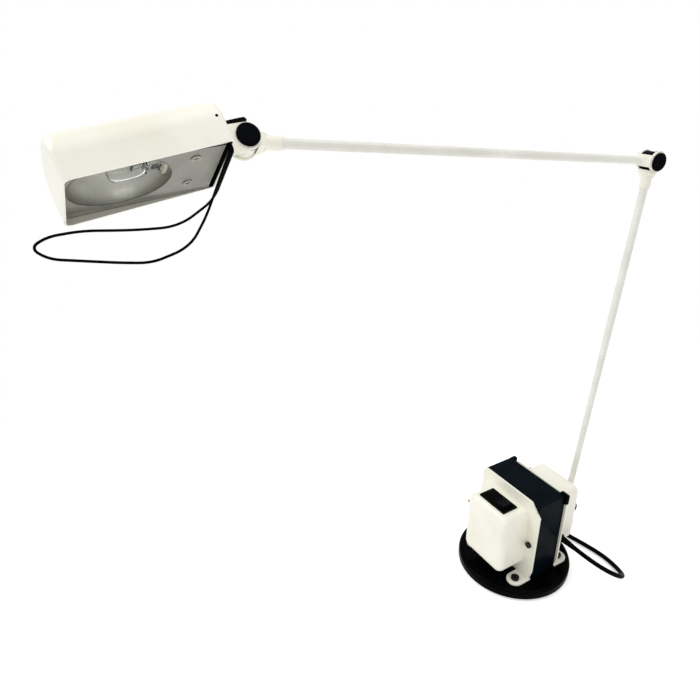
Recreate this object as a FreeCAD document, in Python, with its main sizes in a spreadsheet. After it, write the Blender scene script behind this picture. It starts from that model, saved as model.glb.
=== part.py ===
import FreeCAD, Part
import math
import os

import Sketcher
from FreeCAD import Placement, Rotation, Vector

# Balance desk lamp, in millimetres: a low-voltage task lamp whose transformer is the counterweight.
# Frame: +Z up, origin in the middle of the underside of the round base, switch side facing -Y.
# The lamp is modelled in the pose it is pictured in, and every joint's zero is that pose.

SIZES = {
    # round base
    "BaseRadius": 61.5,
    "BaseTop": 12.0,
    "BaseEdgeRound": 3.5,
    "PadRadius": 56.5,
    "PadThickness": 1.5,
    # transformer: laminated core, winding, two pressed covers
    "CoreWidth": 80.0,
    "CoreStack": 36.4,
    "CoreHeight": 97.0,
    "CoreMiddle": 2.2,
    "LimbWidth": 16.0,
    "WindingGap": 0.6,
    "WindingBuild": 8.6,
    "FlangeWidth": 85.0,
    "FlangeHeight": 98.5,
    "FlangeThickness": 1.8,
    "FlangeTopCut": 13.0,
    "FlangeCornerCut": 4.5,
    "FlangeFootCut": 3.0,
    "BellWidth": 58.0,
    "BellHeight": 73.0,
    "BellFoot": 13.0,
    "FrontBellDepth": 33.0,
    "RearBellDepth": 37.5,
    "BellCornerRound": 9.0,
    "BellFaceRound": 6.0,
    "BellWall": 1.6,
    "LugSpacing": 65.0,
    "LugReach": 12.0,
    "LugRadius": 9.0,
    "ScrewRadius": 2.0,
    "SmallScrewRadius": 1.5,
    "ScrewHeadRadius": 4.3,
    "ScrewHeadHeight": 2.6,
    "ScrewGrip": 7.0,
    "ClampSpacing": 68.0,
    "ClampHeight": 57.0,
    "ClampHeadRadius": 3.4,
    "HoleClearance": 0.15,
    # rocker switch on top of the front cover
    "SwitchLength": 36.0,
    "SwitchWidth": 19.0,
    "SwitchLip": 1.8,
    "SwitchBody": 12.0,
    "SwitchFromFlange": 17.0,
    "SwitchWall": 2.0,
    "RockerGap": 0.45,
    "RockerPivotDepth": 1.8,
    "RockerPinRadius": 1.2,
    # bracket behind the rear cover, and the upright turning axis of the arms
    "SwivelBehindCover": 18.3,
    "KnuckleHeight": 45.8,
    "ShelfBottom": 15.0,
    "ShelfThickness": 9.0,
    "BracketWidth": 24.0,
    "BracketPlate": 3.0,
    "BracketHeight": 37.0,
    "BracketScrewSpacing": 14.0,
    "BracketScrewHeight": 46.0,
    "BracketScrewHead": 1.2,
    "RibReach": 5.0,
    "RibDrop": 12.0,
    "RibThickness": 3.0,
    "SpigotRadius": 4.0,
    "SwivelFlangeRadius": 9.0,
    "SwivelNutRadius": 7.0,
    "SwivelNutHeight": 4.0,
    # knuckles: rings, drum, washer, cap bolt
    "RingRadius": 9.2,
    "RingThickness": 2.0,
    "DrumRadius": 8.2,
    "DrumLength": 11.3,
    "WasherRadius": 9.0,
    "WasherThickness": 1.1,
    "TurnGap": 0.2,
    "CapRadius": 7.95,
    "CapThickness": 2.0,
    "CapRound": 0.8,
    "AxleRadius": 2.5,
    "AxleFit": 0.05,
    "SaddleGap": 0.35,
    "SaddleThickness": 1.25,
    "SaddleHalfWidth": 5.2,
    "SaddleEndGap": 0.4,
    "NeckLength": 14.5,
    "NeckHalf": 4.2,
    "SocketRadius": 4.85,
    "SocketLength": 24.0,
    "ShortSocketLength": 16.0,
    "SocketFloor": 12.0,
    # arms
    "LowerArmLength": 388.3,
    "LowerTubeRadius": 3.6,
    "UpperArmLength": 380.3,
    "UpperTubeRadius": 3.6,
    "TubeWall": 0.9,
    "StepRingRadius": 4.25,
    "StepRingLength": 2.4,
    # head
    "ShadeWidth": 63.4,
    "ShadeLength": 99.4,
    "ShadeDepth": 33.7,
    "ShadeWall": 1.2,
    "ShadeTopRound": 19.0,
    "ShadeFrontRound": 5.0,
    "ShadeRearRound": 2.5,
    "ShadeBehindKnuckle": 20.0,
    "OpeningBelowKnuckle": 11.7,
    "PlateThickness": 1.0,
    "PlateSideGap": 1.3,
    "PlateRearGap": 3.3,
    "PlateSlope": 3.65,
    "BowlLength": 62.0,
    "BowlBorder": 1.7,
    "BowlFrontBorder": 0.9,
    "BowlDepth": 20.0,
    "BowlWall": 0.8,
    "PlateScrewSpacing": 32.0,
    "PlateScrewFromRear": 21.5,
    "PlateScrewHeadRadius": 3.3,
    "PlateScrewHeadHeight": 0.6,
    "PlateScrewSlot": 0.4,
    "PostRadius": 3.0,
    "BulbAxisDepth": 11.8,
    "HolderIntoBowl": 3.0,
    "HolderLength": 14.0,
    "HolderHalfWidth": 8.0,
    "HolderHalfHeight": 4.4,
    "BulbRadius": 5.75,
    "BulbLength": 25.0,
    "BulbGlass": 0.7,
    "PinchHalfWidth": 5.2,
    "PinchHalfHeight": 1.9,
    "PinchLength": 9.0,
    "BulbPinLength": 7.0,
    "BulbPinRadius": 0.6,
    "BulbPinSpacing": 6.35,
    "FilamentRadius": 0.7,
    "FilamentLength": 5.0,
    "FilamentClearance": 6.0,
    "LeadWireRadius": 0.25,
    "BracketArmHalf": 10.4,
    "HeadScrewSide": 4.0,
    "HeadScrewSpacing": 13.0,
    "CoverTop": 13.6,
    "CoverUnder": 11.0,
    "CoverRound": 2.2,
    "CoverHalfWidth": 3.0,
    "CoverOverhang": 5.0,
    "WireRadius": 0.75,
    "ClipSize": 6.0,
    # mains lead
    "CordRadius": 2.5,
    "CordFloorGap": 0.05,
    "GlandHeight": 35.3,
    "GlandBehindFlange": 17.6,
    "GlandRadius": 4.4,
    "GlandFlange": 1.2,
    "GlandTaper": 20.0,
    "CoilRadius": 41.0,
    "CoilPitch": 5.6,
    "CoilLayerRise": 5.8,
    "PlugLength": 38.0,
    "PlugWidth": 25.0,
    "PlugRound": 4.0,
    "PlugReliefLength": 31.0,
    "PlugPinRadius": 2.0,
    "PlugPinLength": 19.0,
    "PlugPinSpacing": 19.0,
}

# Rest angles, in degrees.
SWIVEL_YAW = -5.5  # the arms' plane, turned about the upright axis
LOWER_ARM_LEAN = -4.0  # the lower arm leans back, away from the switch side
ELBOW_BEND = 88.05  # from the lower arm's line to the upper arm's
HEAD_TWIST = 34.75  # the head's knuckle, turned about the upper arm's line
HEAD_TILT = 16.2  # the shade, tilted down about the head's knuckle
ROCKER_TILT = -5.0

COIL_TURNS = 9 - 50.0 / 360.0
COIL_START_ANGLE = 275.0
COIL_CENTRE = (-71.0, 111.0)

# The free stretch of the mains lead: points chosen by hand, from the grommet down to the surface and
# back under the bracket's shelf to the coil.
CORD_ROUTE = [
    (73.7, 39.8, 35.3),
    (90.8, 53.2, 26.2),
    (91.9, 72.6, 12.8),
    (76.5, 87.1, 2.55),
    (53.0, 90.0, 2.55),
    (20.0, 84.0, 2.55),
    (-10.0, 76.0, 2.55),
    (-38.0, 72.1, 2.55),
]

# The wire handle of the head, in the head's own frame: both ends stand in the clip inside the rear corner
# of the shade, run side by side across the rear edge and open into a loop that reaches past the front.
HANDLE_ROUTE = [
    (28.2, -16.0, 22.8),
    (-25.0, -17.6, 22.3),
    (-36.5, -19.5, 26.0),
    (-36.7, -29.2, 52.5),
    (-35.6, -23.8, 80.1),
    (-34.2, -15.3, 111.0),
    (-31.0, -14.5, 130.9),
    (-25.5, -20.3, 142.7),
    (-20.0, -31.7, 135.9),
    (-16.5, -47.0, 100.5),
    (-16.5, -52.7, 83.7),
    (-21.5, -49.0, 56.1),
    (-29.0, -30.8, 35.5),
    (-33.5, -16.6, 22.4),
    (-20.0, -15.2, 22.0),
    (24.8, -13.9, 22.8),
]
HANDLE_START = (28.2, -10.4, 22.8)
HANDLE_END = (24.8, -10.4, 22.8)

X_AXIS = Vector(1, 0, 0)
Y_AXIS = Vector(0, 1, 0)
Z_AXIS = Vector(0, 0, 1)


class Measure:
    """A length with its present number and the expression that works it out from the sheet."""

    def __init__(self, number, text):
        self.number = float(number)
        self.text = text

    @staticmethod
    def of(value):
        return value if isinstance(value, Measure) else Measure(value, f"{float(value):g}")

    def __float__(self):
        return self.number

    def __add__(self, other):
        other = Measure.of(other)
        return Measure(self.number + other.number, f"({self.text} + {other.text})")

    def __sub__(self, other):
        other = Measure.of(other)
        return Measure(self.number - other.number, f"({self.text} - {other.text})")

    def __mul__(self, other):
        other = Measure.of(other)
        return Measure(self.number * other.number, f"({self.text} * {other.text})")

    def __truediv__(self, other):
        other = Measure.of(other)
        return Measure(self.number / other.number, f"({self.text} / {other.text})")

    def __neg__(self):
        return Measure(0, "0") - self

    def __radd__(self, other):
        return Measure.of(other) + self

    def __rsub__(self, other):
        return Measure.of(other) - self

    def __rmul__(self, other):
        return Measure.of(other) * self


class Sizes:
    """The driving dimensions, each an aliased cell of the document's sheet."""

    def __init__(self, document):
        sheet = document.addObject("Spreadsheet::Sheet", "Sizes")
        for row, (name, number) in enumerate(SIZES.items(), start=1):
            sheet.set(f"A{row}", name)
            sheet.set(f"B{row}", str(number))
            sheet.setAlias(f"B{row}", name)
            setattr(self, name, Measure(number, f"Sizes.{name}"))


doc = FreeCAD.newDocument("BalanceLamp")
S = Sizes(doc)
doc.recompute()
NODES = {}


def bind(item, prop, value):
    """Binds one property of an object to a measure, or sets a plain number."""
    if isinstance(value, Measure):
        item.setExpression(prop, value.text)
    else:
        item.setExpression(prop, f"{float(value):g}")


def keep(item, label, frame):
    """Makes an object a kept sub-part: its label names its file, its placement puts it in the lamp."""
    item.Label = label
    item.Placement = frame
    NODES[label] = item
    return item


# ---------------------------------------------------------------- primitives and booleans


def box(name, x_range, y_range, z_range):
    item = doc.addObject("Part::Box", name)
    for side, letter, (low, high) in zip(("Length", "Width", "Height"), "xyz", (x_range, y_range, z_range)):
        bind(item, side, Measure.of(high) - Measure.of(low))
        bind(item, f"Placement.Base.{letter}", low)
    return item


def rod(name, radius, axis, span, centre=(0, 0)):
    """A cylinder along one axis between two places, centred on the other two coordinates in order."""
    item = doc.addObject("Part::Cylinder", name)
    bind(item, "Radius", radius)
    bind(item, "Height", Measure.of(span[1]) - Measure.of(span[0]))
    place = list(centre)
    place.insert("xyz".index(axis), span[0])
    turns = {"x": Rotation(Y_AXIS, 90), "y": Rotation(X_AXIS, -90), "z": Rotation()}
    item.Placement = Placement(Vector(), turns[axis])
    for letter, value in zip("xyz", place):
        bind(item, f"Placement.Base.{letter}", value)
    return item


def fuse(name, *items):
    item = doc.addObject("Part::MultiFuse", name)
    item.Shapes = list(items)
    item.Refine = True
    return item


def cut(name, base, *tools):
    item = doc.addObject("Part::Cut", name)
    item.Base = base
    item.Tool = tools[0] if len(tools) == 1 else fuse(f"{name}Tools", *tools)
    item.Refine = True
    return item


def common(name, first, second):
    item = doc.addObject("Part::MultiCommon", name)
    item.Shapes = [first, second]
    return item


def group(name, *items):
    item = doc.addObject("Part::Compound", name)
    item.Links = list(items)
    return item


# ---------------------------------------------------------------- bodies and sketches


def new_body(name):
    return doc.addObject("PartDesign::Body", name)


def new_sketch(body, name, role, offset=0):
    """A sketch on one of the body's origin planes, moved along its normal."""
    sketch = body.newObject("Sketcher::SketchObject", name)
    plane = next(item for item in body.Origin.OriginFeatures if item.Role == role)
    sketch.AttachmentSupport = (plane, [""])
    sketch.MapMode = "FlatFace"
    bind(sketch, "AttachmentOffset.Base.z", offset)
    return sketch


def fix_point(sketch, edge, end, x, y):
    """Ties one end of an edge to its place from the sketch's origin."""
    for kind, value, axis in (("DistanceX", Measure.of(x), -2), ("DistanceY", Measure.of(y), -1)):
        if abs(value.number) < 1e-9:
            sketch.addConstraint(Sketcher.Constraint("PointOnObject", edge, end, axis))
        else:
            index = sketch.addConstraint(Sketcher.Constraint(kind, -1, 1, edge, end, value.number))
            sketch.setExpression(f"Constraints[{index}]", value.text)


def outline(sketch, points):
    """A closed outline of straight edges through points given as pairs of measures."""
    numbers = [Vector(float(x), float(y), 0) for x, y in points]
    first = sketch.GeometryCount
    for here, there in zip(numbers, numbers[1:] + numbers[:1]):
        sketch.addGeometry(Part.LineSegment(here, there), False)
    for step, (x, y) in enumerate(points):
        edge = first + step
        before = first + (step - 1) % len(points)
        sketch.addConstraint(Sketcher.Constraint("Coincident", before, 2, edge, 1))
        fix_point(sketch, edge, 1, x, y)


def ring_sketch(sketch, radius, x=0, y=0):
    """A circle tied to its centre's place."""
    circle = Part.Circle(Vector(float(x), float(y), 0), Vector(0, 0, 1), float(radius))
    edge = sketch.addGeometry(circle, False)
    index = sketch.addConstraint(Sketcher.Constraint("Radius", edge, float(radius)))
    sketch.setExpression(f"Constraints[{index}]", Measure.of(radius).text)
    fix_point(sketch, edge, 3, x, y)


def add_pad(body, sketch, name, length, reverse=False):
    feature = body.newObject("PartDesign::Pad", name)
    feature.Profile = sketch
    bind(feature, "Length", length)
    feature.Reversed = reverse
    sketch.Visibility = False
    doc.recompute()
    return feature


def add_revolution(body, sketch, name, axis):
    feature = body.newObject("PartDesign::Revolution", name)
    feature.Profile = sketch
    feature.ReferenceAxis = (sketch, [axis])
    feature.Angle = 360
    doc.recompute()
    return feature


def round_edges(body, name, radius, pick, kind="PartDesign::Fillet"):
    """Rounds, or chamfers, the edges of the body's last feature that the test picks."""
    last = body.Tip
    edges = [f"Edge{number}" for number, edge in enumerate(last.Shape.Edges, start=1) if pick(edge)]
    feature = body.newObject(kind, name)
    feature.Base = (last, edges)
    bind(feature, "Radius" if kind.endswith("Fillet") else "Size", radius)
    doc.recompute()
    return feature


def spans(edge, axis, low, high):
    """True where an edge lies along one axis from low to high."""
    box_of = edge.BoundBox
    bounds = {"x": (box_of.XMin, box_of.XMax), "y": (box_of.YMin, box_of.YMax), "z": (box_of.ZMin, box_of.ZMax)}
    lowest, highest = bounds[axis]
    return abs(lowest - float(low)) < 1e-4 and abs(highest - float(high)) < 1e-4


# ---------------------------------------------------------------- swept wires and cords


def arc_between(start, corner, end):
    """The arc tangent to both legs of a corner at points the same distance from it."""
    leg = (start - corner).Length
    to_start = (start - corner).normalize()
    to_end = (end - corner).normalize()
    half_angle = to_start.getAngle(to_end) / 2
    inward = (to_start + to_end).normalize()
    middle = corner + inward * (leg / math.cos(half_angle) - leg * math.tan(half_angle))
    return Part.Arc(start, middle, end).toShape()


def rounded_route(points):
    """Straight runs joined by tangent arcs, each as large as its two runs allow."""
    edges = []
    radii = []
    at = points[0]
    for before, corner, after in zip(points, points[1:], points[2:]):
        shorter = min((corner - before).Length, (after - corner).Length)
        turn = (corner - before).getAngle(after - corner)
        reach = 0.45 * shorter
        start = corner + (before - corner).normalize() * reach
        end = corner + (after - corner).normalize() * reach
        radii.append(reach / math.tan(turn / 2))
        edges.append(Part.LineSegment(at, start).toShape())
        edges.append(arc_between(start, corner, end))
        at = end
    edges.append(Part.LineSegment(at, points[-1]).toShape())
    return edges, radii


def tube_along(edges, radius):
    """A solid round tube along joined edges."""
    path = Part.Wire(edges)
    start = edges[0].valueAt(edges[0].FirstParameter)
    heading = edges[0].tangentAt(edges[0].FirstParameter)
    profile = Part.Wire(Part.Circle(start, heading, radius).toShape())
    return path, path.makePipeShell([profile], True, False)


def route_node(label, points, radius, frame, smallest):
    """A tube along a route, as a kept node, with its bends and its volume checked."""
    edges, radii = rounded_route(points)
    path, shape = tube_along(edges, radius)
    expected = math.pi * radius**2 * path.Length
    print(f"{label}: length {path.Length:.1f}, radii {', '.join(f'{r:.1f}' for r in radii)}")
    assert min(radii) > smallest, f"{label} bends too sharply"
    assert abs(shape.Volume / expected - 1) < 0.02, f"{label} has a wrong volume"
    item = doc.addObject("Part::Feature", label.title().replace("_", ""))
    item.Shape = shape
    keep(item, label, frame)
    return path.Length


# ---------------------------------------------------------------- frames of the moving bodies

COVER_FACE = S.CoreMiddle + S.CoreStack / 2 + S.FlangeThickness
SWIVEL_Y = COVER_FACE + S.RearBellDepth + S.SwivelBehindCover

# the bowl's opening fills the front of the plate, and the lamp holder reaches into the bowl's rear end
BOWL_WIDTH = S.ShadeWidth - (S.ShadeWall + S.PlateSideGap + S.BowlBorder) * 2
BOWL_MIDDLE = S.ShadeLength - S.ShadeWall - S.PlateSideGap - S.BowlFrontBorder - S.BowlLength / 2
HOLDER_FRONT = S.ShadeBehindKnuckle + BOWL_MIDDLE - S.BowlLength / 2 + S.HolderIntoBowl

WORLD = Placement()
UPRIGHT = Placement(Vector(0, float(SWIVEL_Y), float(S.KnuckleHeight)), Rotation(Z_AXIS, SWIVEL_YAW))
LOWER = UPRIGHT * Placement(Vector(), Rotation(X_AXIS, LOWER_ARM_LEAN))
ELBOW = LOWER * Placement(Vector(0, 0, float(S.LowerArmLength)), Rotation())
UPPER = ELBOW * Placement(Vector(), Rotation(X_AXIS, ELBOW_BEND))
WRIST = UPPER * Placement(Vector(0, 0, float(S.UpperArmLength)), Rotation(Z_AXIS, HEAD_TWIST))
HEAD = WRIST * Placement(Vector(), Rotation(X_AXIS, HEAD_TILT))
FLIP = Placement(Vector(), Rotation(Y_AXIS, 180))


# ---------------------------------------------------------------- base


def make_base():
    body = new_body("BaseDisc")
    sketch = new_sketch(body, "BaseOutline", "XY_Plane", S.PadThickness)
    ring_sketch(sketch, S.BaseRadius)
    add_pad(body, sketch, "BaseSlab", S.BaseTop - S.PadThickness)
    round_edges(body, "BaseTopRound", S.BaseEdgeRound, lambda edge: spans(edge, "z", S.BaseTop, S.BaseTop))
    low = S.PadThickness
    round_edges(body, "BaseLowChamfer", 1, lambda edge: spans(edge, "z", low, low), "PartDesign::Chamfer")
    bores = []
    for number, (x, y) in enumerate(lug_centres()):
        radius = S.ScrewRadius + S.HoleClearance
        bores.append(rod(f"FootBore{number}", radius, "z", (S.BaseTop - S.ScrewGrip, S.BaseTop + 1), (x, y)))
    keep(cut("BaseWithBores", body, *bores), "base_disc", WORLD)

    pad_body = new_body("BasePad")
    pad_sketch = new_sketch(pad_body, "PadOutline", "XY_Plane")
    ring_sketch(pad_sketch, S.PadRadius)
    add_pad(pad_body, pad_sketch, "PadSheet", S.PadThickness)
    keep(pad_body, "base_pad", WORLD)


def lug_centres():
    """Where the four foot screws stand: a pair in front of the core and a pair behind it."""
    reach = S.CoreStack / 2 + S.FlangeThickness + S.LugReach
    half = S.LugSpacing / 2
    return [(x, y) for x in (-half, half) for y in (S.CoreMiddle - reach, S.CoreMiddle + reach)]


def make_foot_screws():
    screws = []
    lug_top = S.BaseTop + S.FlangeThickness
    for number, (x, y) in enumerate(lug_centres()):
        head = rod(f"FootHead{number}", S.ScrewHeadRadius, "z", (lug_top, lug_top + S.ScrewHeadHeight), (x, y))
        shank = rod(f"FootShank{number}", S.ScrewRadius, "z", (S.BaseTop - S.ScrewGrip + 0.5, lug_top), (x, y))
        top = lug_top + S.ScrewHeadHeight
        slots = [
            box(f"FootSlotA{number}", (x - 2.2, x + 2.2), (y - 0.4, y + 0.4), (top - 1.2, top + 1)),
            box(f"FootSlotB{number}", (x - 0.4, x + 0.4), (y - 2.2, y + 2.2), (top - 1.2, top + 1)),
        ]
        screws.append(cut(f"FootScrew{number}", fuse(f"FootPlain{number}", head, shank), *slots))
    keep(group("FootScrews", *screws), "foot_screws", WORLD)


# ---------------------------------------------------------------- transformer


def make_core():
    half = S.CoreWidth / 2
    front = S.CoreMiddle - S.CoreStack / 2
    back = S.CoreMiddle + S.CoreStack / 2
    middle = S.BaseTop + S.CoreHeight / 2
    window = half - S.LimbWidth
    tools = []
    for name, low in (("Upper", middle + S.LimbWidth), ("Lower", middle - S.LimbWidth * 2)):
        high = low + S.LimbWidth
        tools.append(box(f"{name}Window", (-window, window), (front - 1, back + 1), (low, high)))
    for side, x in (("Left", -S.ClampSpacing / 2), ("Right", S.ClampSpacing / 2)):
        radius = S.ScrewRadius + S.HoleClearance
        tools.append(rod(f"{side}ClampBore", radius, "y", (front - 1, back + 1), (x, S.ClampHeight)))
    stack = box("CoreStackBlock", (-half, half), (front, back), (S.BaseTop, S.BaseTop + S.CoreHeight))
    keep(cut("CoreLaminations", stack, *tools), "core_laminations", WORLD)

    limb = S.LimbWidth + S.WindingGap / 2
    depth = S.CoreStack / 2 + S.WindingGap / 2
    outer_z = S.LimbWidth * 2 - S.WindingGap
    outer_y = S.CoreStack / 2 + S.WindingBuild
    width = window - S.WindingGap
    y = S.CoreMiddle
    wound = box("WoundBlock", (-width, width), (y - outer_y, y + outer_y), (middle - outer_z, middle + outer_z))
    limb_hole = box("LimbHole", (-width - 1, width + 1), (y - depth, y + depth), (middle - limb, middle + limb))
    keep(cut("Winding", wound, limb_hole), "winding", WORLD)


def bell_block(name, width, height, foot, base, depth, corner, face):
    """A block with rounded corners and a rounded outer face, standing on the cover's local XY plane."""
    body = new_body(name)
    sketch = new_sketch(body, f"{name}Outline", "XY_Plane", base)
    half = width / 2
    outline(sketch, [(-half, foot), (half, foot), (half, foot + height), (-half, foot + height)])
    add_pad(body, sketch, f"{name}Pad", depth)
    top = base + depth
    round_edges(body, f"{name}Corners", corner, lambda edge: spans(edge, "z", base, top))
    round_edges(body, f"{name}Face", face, lambda edge: spans(edge, "z", top, top))
    return body


def cover_sheet(name):
    """The pressed flange of a cover with its two foot lugs, in the cover's frame: +Z outward, +Y up."""
    body = new_body(name)
    sketch = new_sketch(body, f"{name}Outline", "XY_Plane")
    half = S.FlangeWidth / 2
    top = S.FlangeHeight
    cut_top = S.FlangeTopCut
    corner = S.FlangeCornerCut
    cut_foot = S.FlangeFootCut
    outline(
        sketch,
        [
            (-half + cut_foot, 0),
            (half - cut_foot, 0),
            (half, cut_foot * 4),
            (half, top - cut_top),
            (half - cut_top, top),
            (-half + corner, top),
            (-half, top - corner),
            (-half, cut_foot * 4),
        ],
    )
    add_pad(body, sketch, f"{name}Sheet", S.FlangeThickness)
    sheets = [body]
    for side, x in (("Left", -S.LugSpacing / 2), ("Right", S.LugSpacing / 2)):
        reach = S.FlangeThickness + S.LugReach
        across = (x - S.LugRadius, x + S.LugRadius)
        sheets.append(box(f"{name}{side}Tab", across, (0, S.FlangeThickness), (0, reach)))
        sheets.append(rod(f"{name}{side}End", S.LugRadius, "y", (0, S.FlangeThickness), (x, reach)))
    return fuse(f"{name}WithLugs", *sheets)


def make_cover(label, name, frame, depth, extra_tools):
    """One pressed cover: flange, lugs and hollow bell, with its own depth and extra openings."""
    outer = bell_block(
        f"{name}Outer", S.BellWidth, S.BellHeight, S.BellFoot, 0, S.FlangeThickness + depth,
        S.BellCornerRound, S.BellFaceRound,
    )  # fmt: skip
    wall = S.BellWall
    inner = bell_block(
        f"{name}Inner", S.BellWidth - wall * 2, S.BellHeight - wall * 2, S.BellFoot + wall, -1,
        S.FlangeThickness + depth - wall + 1, S.BellCornerRound - wall, S.BellFaceRound - wall,
    )  # fmt: skip
    tools = [inner]
    bore = S.ScrewRadius + S.HoleClearance
    for side, sign in (("Left", -1), ("Right", 1)):
        clamp = (S.ClampSpacing / 2 * sign, S.ClampHeight - S.BaseTop)
        tools.append(rod(f"{name}{side}Clamp", bore, "z", (-1, S.FlangeThickness + 1), clamp))
        foot = (S.LugSpacing / 2 * sign, S.FlangeThickness + S.LugReach)
        tools.append(rod(f"{name}{side}Foot", bore, "y", (-1, S.FlangeThickness + 1), foot))
    shell = cut(f"{name}Cover", fuse(f"{name}Solid", cover_sheet(f"{name}Flange"), outer), *tools, *extra_tools)
    keep(shell, label, frame)


def make_covers():
    """The front cover takes the switch, the rear one the mains lead and the bracket's screws."""
    face = S.CoreStack / 2
    up = Rotation(X_AXIS, 90)
    front = Placement(Vector(0, float(S.CoreMiddle - face), float(S.BaseTop)), up)
    about = Rotation(Z_AXIS, 180) * up
    rear = Placement(Vector(0, float(S.CoreMiddle + face), float(S.BaseTop)), about)
    fit = S.HoleClearance
    out = S.FlangeThickness + S.SwitchFromFlange
    half = S.SwitchLength / 2 - S.SwitchWall / 2 + fit
    across = S.SwitchWidth / 2 - S.SwitchWall / 2 + fit
    roof = S.BellFoot + S.BellHeight
    roof_span = (roof - S.BellWall - 1, roof + 1)
    opening = box("SwitchOpening", (-half, half), roof_span, (out - across, out + across))
    make_cover("front_bell_cover", "Front", front, S.FrontBellDepth, [opening])

    side = -S.BellWidth / 2
    gland_at = (S.GlandHeight - S.BaseTop, S.FlangeThickness + S.GlandBehindFlange)
    tools = [rod("GlandOpening", S.CordRadius + fit, "x", (side - 1, side + S.BellWall + 1), gland_at)]
    face_out = S.FlangeThickness + S.RearBellDepth
    through = (face_out - S.BellWall - 1, face_out + 1)
    for name, sign in (("Left", -1), ("Right", 1)):
        at = (S.BracketScrewSpacing / 2 * sign, S.BracketScrewHeight - S.BaseTop)
        tools.append(rod(f"Bracket{name}Bore", S.ScrewRadius + fit, "z", through, at))
    make_cover("rear_bell_cover", "Rear", rear, S.RearBellDepth, tools)


def make_clamps():
    front = S.CoreMiddle - S.CoreStack / 2 - S.FlangeThickness
    back = COVER_FACE
    bolts = []
    nuts = []
    for name, x in (("Left", -S.ClampSpacing / 2), ("Right", S.ClampSpacing / 2)):
        at = (x, S.ClampHeight)
        head = rod(f"{name}ClampHead", S.ClampHeadRadius, "y", (front - S.ScrewRadius, front), at)
        shank = rod(f"{name}ClampShank", S.ScrewRadius, "y", (front, back + 3.5), at)
        bolts.append(fuse(f"{name}ClampBolt", head, shank))
        nut = doc.addObject("Part::Prism", f"{name}ClampHex")
        nut.Polygon = 6
        bind(nut, "Circumradius", S.ClampHeadRadius)
        bind(nut, "Height", 3)
        nut.Placement = Placement(Vector(), Rotation(X_AXIS, -90))
        bind(nut, "Placement.Base.x", x)
        bind(nut, "Placement.Base.y", back)
        bind(nut, "Placement.Base.z", S.ClampHeight)
        bore = rod(f"{name}NutBore", S.ScrewRadius + S.AxleFit, "y", (back - 1, back + 4), at)
        nuts.append(cut(f"{name}ClampNut", nut, bore))
    keep(group("ClampBolts", *bolts), "clamp_bolts", WORLD)
    keep(group("ClampNuts", *nuts), "clamp_nuts", WORLD)


# ---------------------------------------------------------------- switch


def switch_frame():
    """The switch's own frame: origin in the middle of the lip's top, +Z up."""
    y = S.CoreMiddle - S.CoreStack / 2 - S.FlangeThickness - S.SwitchFromFlange
    z = S.BaseTop + S.BellFoot + S.BellHeight + S.SwitchLip
    return Placement(Vector(0, float(y), float(z)), Rotation())


def make_switch():
    length = S.SwitchLength / 2
    width = S.SwitchWidth / 2
    wall = S.SwitchWall / 2
    lip = box("SwitchLipPlate", (-length, length), (-width, width), (-S.SwitchLip, 0))
    body_length = length - wall
    body_width = width - wall
    deep = -S.SwitchLip - S.SwitchBody
    body = box("SwitchBodyBlock", (-body_length, body_length), (-body_width, body_width), (deep, -S.SwitchLip))
    room_length = body_length - wall * 1.7
    room_width = body_width - wall * 1.7
    room = box("SwitchRoom", (-room_length, room_length), (-room_width, room_width), (deep + S.SwitchWall, 1))
    pin_z = -S.RockerPivotDepth
    pin = rod("PinBore", S.RockerPinRadius + S.AxleFit, "y", (-room_width - 1, room_width + 1), (0, pin_z))
    keep(cut("SwitchBezel", fuse("BezelSolid", lip, body), room, pin), "switch_bezel", switch_frame())

    rocker = new_body("RockerBody")
    half = room_length - S.RockerGap
    sketch = new_sketch(rocker, "RockerProfile", "XZ_Plane", -(room_width - S.RockerGap))
    high = S.RockerPivotDepth + 2.6
    outline(
        sketch,
        [
            (-half, -1),
            (-half * 0.3, -5.5),
            (half * 0.3, -5.5),
            (half, -1),
            (half, high),
            (0, high - 1.9),
            (-half, high),
        ],
    )
    add_pad(rocker, sketch, "RockerPad", (room_width - S.RockerGap) * 2)
    pins = rod("RockerPins", S.RockerPinRadius, "y", (-room_width - 0.8, room_width + 0.8))
    frame = switch_frame() * Placement(Vector(0, 0, float(pin_z)), Rotation(Y_AXIS, ROCKER_TILT))
    keep(fuse("Rocker", rocker, pins), "switch_rocker", frame)


# ---------------------------------------------------------------- rear bracket


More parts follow.
